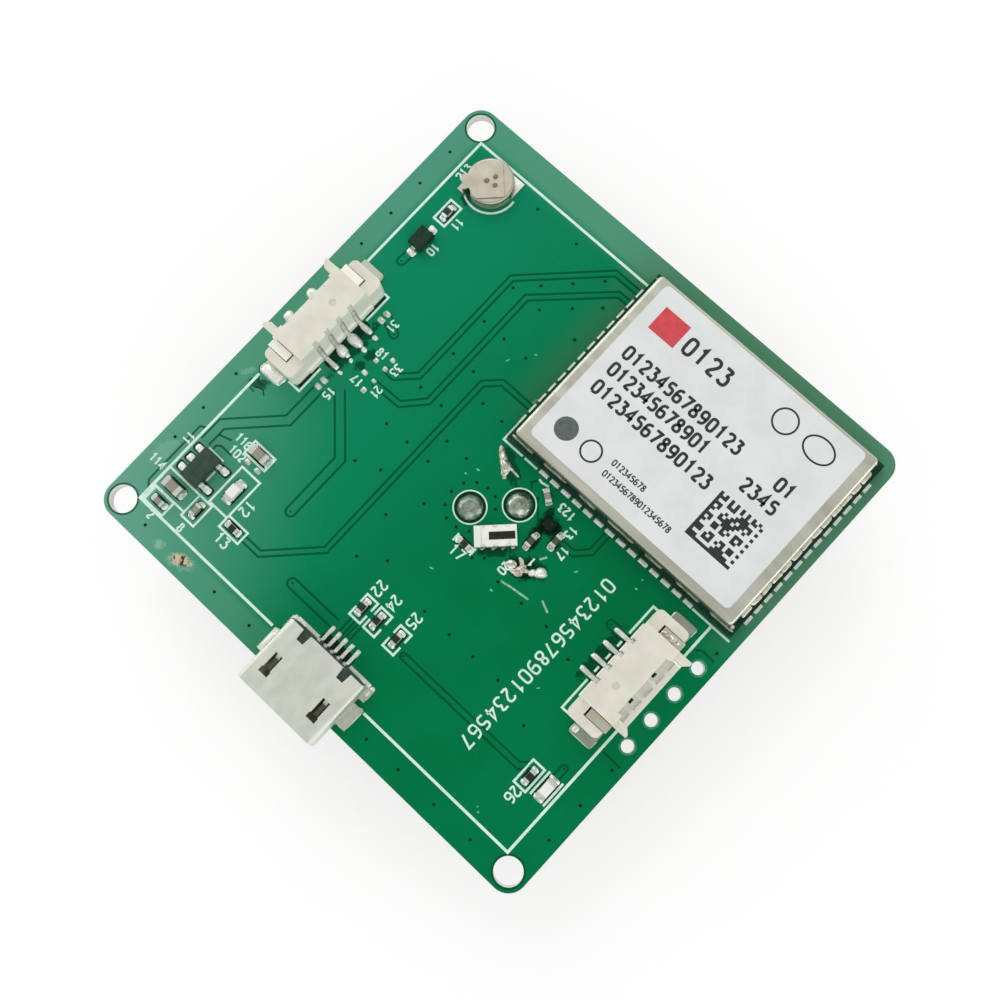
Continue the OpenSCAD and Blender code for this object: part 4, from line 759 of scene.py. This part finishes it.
fieldWide = 0.6
strokes = {      # each figure drawn in one stroke on a field of that width and 1 high
    "0": [(0.12, 0), (0.48, 0), (0.6, 0.16), (0.6, 0.84), (0.48, 1), (0.12, 1), (0, 0.84), (0, 0.16), (0.12, 0.0)],
    "1": [(0.1, 0.8), (0.32, 1), (0.32, 0)],
    "2": [(0, 0.82), (0.12, 1), (0.48, 1), (0.6, 0.85), (0.6, 0.62), (0, 0), (0.62, 0)],
    "3": [(0, 1), (0.6, 1), (0.28, 0.6), (0.48, 0.58), (0.6, 0.44), (0.6, 0.15), (0.48, 0), (0.12, 0), (0, 0.15)],
    "4": [(0.46, 0), (0.46, 1), (0, 0.3), (0.64, 0.3)],
    "5": [(0.58, 1), (0.06, 1), (0.02, 0.58), (0.46, 0.6), (0.6, 0.46), (0.6, 0.15), (0.46, 0), (0, 0.04)],
    "6": [(0.52, 1), (0.16, 0.96), (0, 0.72), (0, 0.16), (0.12, 0), (0.48, 0), (0.6, 0.15), (0.6, 0.42),
          (0.48, 0.56), (0.02, 0.5)],
    "7": [(0, 1), (0.6, 1), (0.2, 0)],
    "8": [(0.3, 0.54), (0.08, 0.66), (0.08, 0.88), (0.18, 1), (0.42, 1), (0.52, 0.88), (0.52, 0.66), (0.3, 0.54),
          (0.04, 0.4), (0, 0.14), (0.12, 0), (0.48, 0), (0.6, 0.14), (0.56, 0.4), (0.32, 0.53)],
    "9": [(0.08, 0), (0.44, 0.04), (0.6, 0.28), (0.6, 0.84), (0.48, 1), (0.12, 1), (0, 0.85), (0, 0.58),
          (0.12, 0.44), (0.58, 0.5)],
}


def eased(path):                 # cuts every corner twice at a quarter of its legs, and keeps both ends
    path = np.asarray(path, float)
    for _ in range(2):
        cut = np.stack([path[:-1] * 0.75 + path[1:] * 0.25, path[:-1] * 0.25 + path[1:] * 0.75], 1).reshape(-1, 2)
        path = np.vstack([path[:1], cut[1:-1], path[-1:]])
    return path


def figures(text, x, y, height, turn, line, base, thick, pitch, wide):
    # figures set side by side along a turned line whose middle is at (x, y)
    cosine, sine = math.cos(math.radians(turn)), math.sin(math.radians(turn))
    start = -((len(text) - 1) * pitch + fieldWide) * wide / 2
    parts = []
    for place, figure in enumerate(text):
        drawn = (np.array(strokes[figure]) if figure in "147" else eased(strokes[figure])) * (wide, 1.0)
        across = (drawn[:, 0] + start + place * pitch * wide) * height
        along = (drawn[:, 1] - 0.5) * height
        path = np.stack([x + across * cosine - along * sine, y + across * sine + along * cosine], 1)
        parts.append(ribbon(path, strip(line, thick), base))
    return parts


numbers = {
    "line": 0.15, "thick": 0.03, "pitch": 0.88, "wide": 0.9,
    "sizes": {"small": 0.62, "large": 0.8},
    "small": [
        ("213", -18.45, 16.45, 90), ("11", -15.97, 12.97, -90), ("10", -15.96, 10.2, -90), ("31", -14.03, 3.64, -90),
        ("81", -13.1, 1.5, 0), ("17", -13.1, -1.28, 180), ("33", -11.42, 1.3, -90),
        ("21", -11.4, -0.95, -90), ("15", -14.03, -3.48, -90), ("116", -16.25, -10.6, 0),
        ("102", -15.95, -11.6, 0), ("11", -19.65, -13.25, -90), ("114", -20.1, -16.15, 0), ("8", -15.15, -18.55, 0),
        ("2", -17.6, -19.4, 0), ("123", 5.6, 2.0, 180), ("13", 6.85, 1.05, -90), ("17", 7.4, -0.5, -90),
        ("20", 5.0, -4.25, -90), ("1", 6.2, -2.5, 180),
    ],
    "large": [
        ("13", -12.1, -17.1, 0), ("12", -12.4, -14.1, -90), ("22", -0.82, -11.62, -90), ("24", 0.72, -11.7, -90),
        ("25", 2.75, -11.62, -90), ("26", 16.58, -15.83, -90), ("17", 1.6, -5.75, 0),
    ],
    "column": ("012345678901234567", 11.55, -7.67, 1.03, -90, 0.17), "columnPitch": 0.955, "columnWide": 0.915,
}
numberParts = []
for key, height in numbers["sizes"].items():
    for text, x, y, turn in numbers[key]:
        numberParts += figures(text, x, y, height, turn, numbers["line"], boardTop, numbers["thick"], numbers["pitch"],
                               numbers["wide"])
text, x, y, height, turn, line = numbers["column"]
numberParts += figures(text, x, y, height, turn, line, boardTop, numbers["thick"], numbers["columnPitch"],
                       numbers["columnWide"])
putPiece("board_numbers", numberParts, "print")

pads = {
    "height": 0.05,
    "bare": [(-15.0, 4.05, 0.3, 0.22), (-15.0, 3.4, 0.3, 0.22), (-15.0, -3.0, 0.3, 0.22), (-15.0, -3.65, 0.3, 0.22),
             (-13.1, 0.83, 0.2, 0.19), (-12.1, 0.8, 0.22, 0.18), (-13.1, -0.45, 0.24, 0.19), (-12.1, -0.45, 0.2, 0.14),
             (-12.15, 1.7, 0.2, 0.18), (-12.2, -1.5, 0.22, 0.22),
             (-14.9, -11.5, 0.26, 0.2), (-13.85, -11.5, 0.26, 0.2)],
}
putPiece("bare_pads", [mound(*row, pads["height"], boardTop, square=5, bulge=3, wobble=0.02) for row in pads["bare"]],
         "solder")

beds = {"long": 0.55, "wide": 0.3, "height": 0.005, "square": 8}      # dark clearance round each chip, made darker as painted shade


def bed(x, y, long, wide, turn=0.0, square=beds["square"], wobble=0.0):      # a flat mound
    return mound(x, y, long, wide, beds["height"], boardTop, turn, square, bulge=8, wobble=wobble, rings=3)


bedParts = []
for node in chips["resistors"] + chips["capacitors"][:-1] + chips["lights"]:
    centre, turn, length, width, height = chipFrame(node)
    bedParts.append(bed(centre[0], centre[1], (length + beds["long"]) / 2, (width + beds["wide"]) / 2, turn))
putPiece("chip_beds_and_shade", bedParts, "bed")

joints = {
    "reach": 0.2, "spill": 0.05, "climb": 0.72, "off": 0.07,     # half length, past the side, share of the height
    "lumpy": {"rf_capacitor_a": (0.25, 0.0, 0.95), "rf_capacitor_b": (0.27, 0.04, 1.05),
              "rf_capacitor_c": (0.1, 0.02, 0.6)},
    "socketTail": (0.46, 0.21, 0.18), "usbTail": (0.19, 0.3, 0.17),
    "socketBlobs": [(-15.41, 0.86, 0.67, 0.46, 0.5), (-15.57, -0.38, 0.52, 0.44, 0.46),
                    (-15.41, 2.11, 0.58, 0.24, 0.22), (-14.4, 0.82, 0.24, 0.2, 0.1), (-14.55, -0.48, 0.18, 0.16, 0.08),
                    (-14.4, 2.06, 0.24, 0.19, 0.08), (-14.5, -1.73, 0.2, 0.15, 0.08)],
    "spots": [(-20.5, 1.36, 0.5, 0.42, 0.3), (-20.55, -1.17, 0.48, 0.42, 0.28)],
}
jointParts = []
for node in chips["resistors"] + chips["capacitors"] + chips["lights"]:
    centre, turn, length, width, height = chipFrame(node)
    cosine, sine = math.cos(math.radians(turn)), math.sin(math.radians(turn))
    reach, spill, climb = joints["lumpy"].get(node, (joints["reach"], joints["spill"], joints["climb"]))
    for end in (-1, 1):                                  # a hollow slope from the end cap down to the board
        away = end * (length / 2 + joints["off"])
        x, y = centre[0] + away * cosine, centre[1] + away * sine
        jointParts.append(mound(x, y, reach, width / 2 + spill, climb * height, boardTop, turn, square=3, bulge=1.0,
                                soften=1.4, wobble=0.04))
putPiece("chip_joints", jointParts, "wet")

sockets = {
    "left": {"rear": -16.2, "middle": 0.25, "mouth": -1}, "right": {"rear": 15.37, "middle": -3.87, "mouth": 1},
    "ways": 4, "pitch": 1.25, "tailMiddle": 0.9, "foot": (2.1, 5.45, 1.05, 0.45, 0.12),
    "wetFoot": (-18.3, -5.3, 1.08, 0.52, 0.36), "brightEnd": (16.75, -9.32, 0.3, 0.38, 0.28),
    # dark strips at the socket tails and along the foot of the left housing's rear wall: painted shade
    "tailShade": [(-15.65, 0.25, 0.42, 2.3), (15.17, -3.87, 0.1, 2.3), (-16.1, 3.9, 0.14, 1.1),
                 (-16.1, -3.6, 0.14, 1.1)],
    "dimples": [(-17.58, 1.53), (16.75, -5.15)], "dimple": (0.29, 0.012), "dimpleDepth": 0.05, "bladeTop": 2.4,
    "slotFlux": [(17.0, 0.05, 0.42, 0.24, 0.2), (17.7, 0.0, 0.4, 0.26, 0.14)],
}
socketParts = []
for side in ("left", "right"):
    rear, middle, mouth = (sockets[side][key] for key in ("rear", "middle", "mouth"))
    for way in range(sockets["ways"]):
        y = middle + (way - (sockets["ways"] - 1) / 2) * sockets["pitch"]
        socketParts.append(mound(rear - mouth * sockets["tailMiddle"], y, *joints["socketTail"], boardTop,
                                 square=4, bulge=3, soften=1.0, wobble=0.04))
    along, out, long, wide, height = sockets["foot"]
    for end in (-1, 1):
        socketParts.append(mound(rear + mouth * along, middle + end * out, long, wide, height, boardTop, square=8,
                                 bulge=5, soften=0.9, wobble=0.015))
socketParts += mounds(joints["socketBlobs"] + joints["spots"], boardTop, square=2.4, wobble=0.07)
socketParts += mounds([sockets["wetFoot"], sockets["brightEnd"]], boardTop, square=5, bulge=3, wobble=0.05)
putPiece("socket_joints", socketParts, "wet")
# painted shade at the socket tails
putPiece("tail_shade", [bed(*row) for row in sockets["tailShade"]], "bed")
dimpleFloor = boxOf("left_socket_housing")[1][2] - sockets["dimpleDepth"]      # moulding mark sunk in each roof
radius, height = sockets["dimple"]
putPiece("mould_marks", [mound(x, y, radius, radius, height, dimpleFloor, bulge=6) for x, y in sockets["dimples"]],
         "dimple")
putPiece("slot_flux", mounds(sockets["slotFlux"], boardTop + sockets["bladeTop"], square=2.4, wobble=0.1),
         "fluxedTin")

usb = {"tails": 5, "pitch": 0.65, "tailMiddle": -16.25, "bed": (-0.02, -16.98, 1.55, 0.42),
       "feet": [(4.12, -19.95, 0.44, 1.04, 0.1, 8), (-4.14, -19.95, 0.42, 1.04, 0.32, 5),
                (3.92, -17.82, 0.26, 0.62, 0.26, 4), (-3.88, -17.82, 0.26, 0.62, 0.26, 4)]}
usbParts = []
for way in range(usb["tails"]):
    x = (way - (usb["tails"] - 1) / 2) * usb["pitch"]
    usbParts.append(mound(x, usb["tailMiddle"], *joints["usbTail"], boardTop, square=5, bulge=3, soften=1.0,
                          wobble=0.03))
usbParts += [mound(x, y, long, wide, height, boardTop, square=square, bulge=3, wobble=0.03)
             for x, y, long, wide, height, square in usb["feet"]]
putPiece("usb_joints", usbParts, "wet")
putPiece("usb_bed", [bed(*usb["bed"])], "via")

leads = {
    "regulator": [(-18.35, -13.25), (-18.35, -14.2), (-18.35, -15.15), (-15.7, -13.25), (-15.7, -15.15)],
    "diode": [(-17.05, 11.35), (-17.05, 8.95)], "size": (0.36, 0.3, 0.16), "bed": (0.52, 0.4),
}
putPiece("lead_joints", [mound(x, y, *leads["size"], boardTop, square=4, bulge=2, wobble=0.05)
                         for x, y in leads["regulator"] + leads["diode"]], "wet")
# dark beds round the regulator's leads: painted shade
putPiece("lead_shade", [bed(x, y, *leads["bed"], square=6, wobble=0.03) for x, y in leads["regulator"]], "bed")

receiverLow, receiverHigh = boxOf("receiver_substrate")
shieldLow, shieldHigh = boxOf("receiver_shield")
rims = {
    "pitch": 1.1, "counts": (14, 13), "half": 0.37, "wide": 0.15, "narrow": 0.1, "out": 0.12,
    "climb": 0.1, "seamHalf": 1.0, "seamWide": 0.12, "seamHeight": 0.13, "seamPitch": 3.25, "seamUneven": 0.18,
    "bead": (20.12, 3.75, 0.18, 0.18, 0.3), "flange": (20.12, 0.52, 0.2, 0.14, 1.1, 13), "flangeShift": 0.3,
}
centre = (receiverLow + receiverHigh) / 2


def sideSpots(low, high, pitch, counts, out=0.0):
    # x, y and turn of the spots at a pitch along the sides of a box: front and rear, then left and right
    spots = []
    for upright, count in enumerate(counts):
        for number in range(count):
            step = centre[upright] + (number - (count - 1) / 2) * pitch
            for edge, way in ((low, -1), (high, 1)):
                across = edge[1 - upright] + way * out
                spots.append((across, step, 90) if upright else (step, across, 0))
    return spots


rimParts = [mound(x, y, rims["half"], rims["narrow" if turn else "wide"], rims["climb"], boardTop, turn, square=4,
                  bulge=3, wobble=0.04, rings=4, spokes=16)
            for x, y, turn in sideSpots(receiverLow, receiverHigh, rims["pitch"], rims["counts"], rims["out"])]
seamParts = []
seamCounts = [int(length / rims["seamPitch"]) + 1 for length in (shieldHigh - shieldLow)[:2]]
for x, y, turn in sideSpots(shieldLow, shieldHigh, rims["seamPitch"], seamCounts):
    half = rims["seamHalf"] * (1 + rims["seamUneven"] * math.sin(5 * x + 3 * y))
    seamParts.append(mound(x, y, half, rims["seamWide"], rims["seamHeight"], substrateTop, turn, square=4, bulge=1.4,
                           soften=1.1, wobble=0.06, rings=4))
x, long, wide, height, pitch, count = rims["flange"]
y = centre[1] + rims["flangeShift"]
flangeParts = [mound(x, y + (number - (count - 1) / 2) * pitch, long, wide, height, substrateTop, 90,
                     square=5, bulge=4, wobble=0.06, rings=4) for number in range(count)]
flangeParts.append(mound(*rims["bead"], substrateTop, wobble=0.03))
putPiece("receiver_rim_joints", rimParts, "wet")
putPiece("shield_seams", seamParts, "seam")
putPiece("shield_flange", flangeParts, "flange")

rework = {       # hand-soldered spots near the feed: x, y, half length, half width, height, turn
    "tinned": [(7.25, -2.7, 0.55, 0.35, 0.3, 35), (6.85, -3.05, 0.35, 0.3, 0.22, 30)],
    "fluxed": [(-1.15, 2.15, 0.45, 0.2, 0.12, -40), (-0.65, 1.8, 0.5, 0.32, 0.2, -35),
               (-0.2, 1.5, 0.55, 0.42, 0.26, 0), (0.45, 1.58, 0.6, 0.16, 0.12, -3), (0.1, 1.1, 0.35, 0.28, 0.14, -50),
               (0.3, 0.85, 0.25, 0.14, 0.08, -45), (5.15, -3.7, 0.46, 0.3, 0.1, 25),
               (5.5, -3.95, 0.3, 0.2, 0.08, -10)],
    # joints at the coupler's terminals, darkened by the dome solder's painted reflection
    "dull": [(4.42, -2.7, 0.3, 0.24, 0.4, 45), (3.95, -3.22, 0.28, 0.2, 0.3, 45), (3.43, -3.7, 0.28, 0.2, 0.26, 45),
             (2.83, -4.3, 0.22, 0.16, 0.2, 45)],
    "burnt": [(5.65, -3.05, 0.42, 0.16, 0.1, -38), (5.95, -3.55, 0.52, 0.3, 0.18, 62),
              (6.35, -3.3, 0.4, 0.18, 0.14, 30), (6.0, -3.85, 0.34, 0.24, 0.12, 10)],
    "scratches": [[(5.4, -5.12), (6.3, -4.95), (7.9, -4.75)], [(8.7, -4.1), (9.0, -4.25), (9.6, -4.5)],
                  [(6.5, -2.0), (6.8, -1.5)]],
    "scratchLine": 0.16, "scratchHeight": 0.01,
}
for name, key, finish in (("rework_solder", "tinned", "wet"), ("rework_tinning", "fluxed", "fluxedTin"),
                          ("rework_flux", "burnt", "flux"), ("coupler_joints", "dull", "dome")):
    putPiece(name, mounds(rework[key], boardTop, square=2.2, wobble=0.13), finish)
putPiece("scratches", flatLines(rework["scratches"], rework["scratchLine"], rework["scratchHeight"]), "scratch")

labelInk = {
    "thick": 0.01, "dot": (1.65, 6.25, 0.92),
    "rows": [     # figures, left end, middle, height, line and step from figure to figure
        ("01234567890123", 0.98, 13.55, 0.99, 0.23, 0.81), ("012345678901", 0.98, 11.9, 0.99, 0.23, 0.79),
        ("01234567890123", 0.98, 10.13, 0.99, 0.23, 0.81), ("01", 15.6, 13.52, 0.99, 0.23, 0.8),
        ("2345", 13.75, 11.88, 0.99, 0.23, 0.84), ("0123", 3.95, 16.9, 1.3, 0.26, 1.13),
        ("012345678", 5.85, 6.72, 0.44, 0.1, 0.35), ("0123456789012345678", 5.85, 5.68, 0.44, 0.1, 0.34)],
    "figureWide": 0.86, "redBar": ((0.95, 17.0), (3.35, 17.0)), "redLine": 2.1,
    "rings": [(13.05, 17.32, 0.97, 0.97), (16.22, 17.3, 1.27, 0.95), (4.12, 6.22, 0.8, 0.8)], "ringLine": 0.15,
    "code": (15.08, 8.4, 4.1, 16),
}
inkParts = []
wide = labelInk["figureWide"]
for text, x, y, height, line, step in labelInk["rows"]:
    length = (len(text) - 1) * step + fieldWide * wide * height
    inkParts += figures(text, x + length / 2, y, height, 0, line, labelTop, labelInk["thick"],
                        step / (wide * height), wide)
inkParts += [ribbon((circle(0, 0, 1) * (long, wide)) + (x, y), strip(labelInk["ringLine"], labelInk["thick"]),
                    labelTop, True) for x, y, long, wide in labelInk["rings"]]


def codeCells(x, y, width, count):
    # square cells on a count-by-count grid: solid left and lower edge, dashed right and upper edge,
    # and inside a cell is dark where (7i + 13j + 3ij) mod 11 is below 6
    column, row = np.meshgrid(np.arange(count), np.arange(count), indexing="ij")
    dark = (7 * column + 13 * row + 3 * column * row) % 11 < 6
    dark[0], dark[:, 0] = True, True
    dark[-1] = np.arange(count) % 2 == 0
    dark[1:, -1] = np.arange(1, count) % 2 == 0
    cell = width / count
    middle = np.stack([column[dark], row[dark]], 1) * cell + cell / 2 - width / 2 + (x, y)
    corner = np.array([(-1, -1), (1, -1), (1, 1), (-1, 1)]) * cell * 0.5
    flat = middle[:, None] + corner[None]
    low = np.concatenate([flat, np.full(flat.shape[:2] + (1,), labelTop)], 2)
    points = np.concatenate([low, low + (0, 0, labelInk["thick"])], 1).reshape(-1, 3)
    shape = np.array([(3, 2, 1, 0), (4, 5, 6, 7), (0, 1, 5, 4), (1, 2, 6, 5), (2, 3, 7, 6), (3, 0, 4, 7)])
    return points, [(shape[None] + 8 * np.arange(len(middle))[:, None, None]).reshape(-1, 4)]


inkParts.append(codeCells(*labelInk["code"]))
putPiece("label_ink", inkParts, "ink")
x, y, radius = labelInk["dot"]
putPiece("label_dot", [mound(x, y, radius, radius, labelInk["thick"], labelTop, bulge=12, spokes=48)],
         "greyInk")
putPiece("label_red_bar", flatLines([labelInk["redBar"]], labelInk["redLine"], labelInk["thick"], labelTop),
         "redInk")

tipHighlights = {"lean": (-0.14, 0.05), "size": 0.31, "height": 0.12, "sunk": 0.03}      # pin ends under the skin of the domes, in bright solder and leaned off centre: a painted highlight on each dome
domeTop = boxOf("feed_solder_domes")[1][2]
putPiece("feed_tip_highlights", [mound(x + tipHighlights["lean"][0], y + tipHighlights["lean"][1], tipHighlights["size"], tipHighlights["size"], tipHighlights["height"],
                             domeTop - tipHighlights["sunk"], wobble=0.06) for x, y in feedSpots],
         "wet")

marks = {
    "bar": (2.93, -2.93, 0.98, 0.3, 0.02, 45.0), "shift": 0.5,
    "welds": [(-16.21, 16.75, 0.23, 0.23, 0.02), (-15.91, 17.44, 0.22, 0.22, 0.02), (-15.47, 16.9, 0.22, 0.22, 0.02)],
    "scuffs": [[(-19.0, -6.1), (-18.7, -6.5), (-18.2, -6.4)], [(-18.6, -6.9), (-18.0, -6.7), (-17.6, -7.0)],
               [(-19.5, -5.5), (-19.2, -5.9)], [(-18.9, -7.2), (-18.4, -7.3)], [(-20.3, 4.4), (-19.7, 4.1)]],
    "scuffLine": 0.1, "scuffHeight": 0.006,
}
couplerTop = boxOf("hybrid_coupler")[1][2]
stripTop = boxOf("backup_cell_top_strip")[1][2]
x, y, long, wide, height, turn = marks["bar"]
cosine, sine = math.cos(math.radians(turn)), math.sin(math.radians(turn))
along = marks["shift"]
ends = [(x + (along + end * long) * cosine, y + (along + end * long) * sine) for end in (-1, 1)]
putPiece("coupler_mark", flatLines([ends], 2 * wide, height, couplerTop), "markInk")
putPiece("cell_welds", mounds(marks["welds"], stripTop, bulge=4, wobble=0.04), "weld")
putPiece("dark_scuffs", flatLines(marks["scuffs"], marks["scuffLine"], marks["scuffHeight"]), "scuff")

studio = {
    "worldLevel": 0.7,
    "boxes": [   # name, place, width, depth (metres), watts, aimed at the object
        ("leftSoftbox", (-0.5, 0.35, 0.55), 0.6, 0.6, 1.5),
        ("rightFill", (0.5, -0.45, 0.4), 0.5, 0.5, 0.8),
        ("leftStrip", (-0.45, -0.05, 0.08), 0.5, 0.12, 0.45),
        ("rightStrip", (0.45, 0.05, 0.08), 0.5, 0.12, 0.45),
    ],
    "floorGlow": 0.55, "floorColour": (0.5, 0.5, 0.5, 1.0), "floorCloud": (0.52, 0.52, 0.52, 1.0), "cloud": 40.0,
    "floorBounce": (0.85, 0.85, 0.84, 1.0),
    "floorReach": 2.4, "floorFlat": 0.5, "wall": 1.0, "rings": 24, "spokes": 96,      # metres, and share that is flat
}
sky = bpy.data.worlds.new("studioAir")
sky.use_nodes = True
skyShader = sky.node_tree.nodes["Background"]
skyShader.inputs[0].default_value = (1, 1, 1, 1)
skyShader.inputs[1].default_value = studio["worldLevel"]
scene.world = sky
for name, place, width, depth, watts in studio["boxes"]:
    lamp = bpy.data.lights.new(name, "AREA")
    lamp.shape = "RECTANGLE"
    lamp.size, lamp.size_y = width, depth
    lamp.energy = watts
    holder = bpy.data.objects.new(name, lamp)
    holder.location = place
    holder.rotation_euler = (-Vector(place)).to_track_quat("-Z", "Y").to_euler()
    scene.collection.objects.link(holder)


def floorFinish():
    # a pale floor that takes shadows, and adds its own glow for the camera and for mirror rays
    made = startFinish("studioFloor")
    tree = bench["tree"]
    tree.nodes.remove(bench["shader"])
    place = objectPlace()
    path = addNode("ShaderNodeLightPath", {}).outputs
    seen = work("MAXIMUM", path["Is Camera Ray"], work("MAXIMUM", path["Is Glossy Ray"], path["Is Transmission Ray"]))
    shade = blend(noise(place, studio["cloud"], 3), studio["floorColour"], studio["floorCloud"])
    matt = addNode("ShaderNodeBsdfDiffuse", {"Color": shade}).outputs[0]
    glow = addNode("ShaderNodeEmission", {"Strength": studio["floorGlow"]}).outputs[0]
    bounce = addNode("ShaderNodeBsdfDiffuse", {"Color": studio["floorBounce"]}).outputs[0]
    shown = addNode("ShaderNodeAddShader", {0: matt, 1: glow}).outputs[0]
    both = addNode("ShaderNodeMixShader", {0: seen, 1: bounce, 2: shown}).outputs[0]
    tree.links.new(both, tree.nodes["Material Output"].inputs["Surface"])
    return made


# the floor is a disc whose outer part sweeps up: its height is a quarter of an ellipse of the radius
angle = np.linspace(0, 2 * np.pi, studio["spokes"], endpoint=False)
share = np.linspace(0, 1, studio["rings"] + 1)[1:, None]
sweep = np.maximum(share - studio["floorFlat"], 0) / (1 - studio["floorFlat"])
floorPoints = np.stack(np.broadcast_arrays(
    share * studio["floorReach"] * np.cos(angle), share * studio["floorReach"] * np.sin(angle),
    studio["wall"] * (1 - np.sqrt(1 - sweep ** 2))), 2).reshape(-1, 3)
cells = np.arange(studio["rings"] * studio["spokes"]).reshape(studio["rings"], studio["spokes"])
turned = np.roll(cells, -1, axis=1)
floorFaces = np.stack([cells[:-1], cells[1:], turned[1:], turned[:-1]], 2).reshape(-1, 4).tolist() + cells[:1].tolist()
floorMesh = bpy.data.meshes.new("studioFloor")
floorMesh.from_pydata(floorPoints, [], floorFaces)
floorMesh.shade_smooth()
floorMesh.materials.append(floorFinish())
floor = bpy.data.objects.new("studioFloor", floorMesh)
scene.collection.objects.link(floor)
print("studio lit")
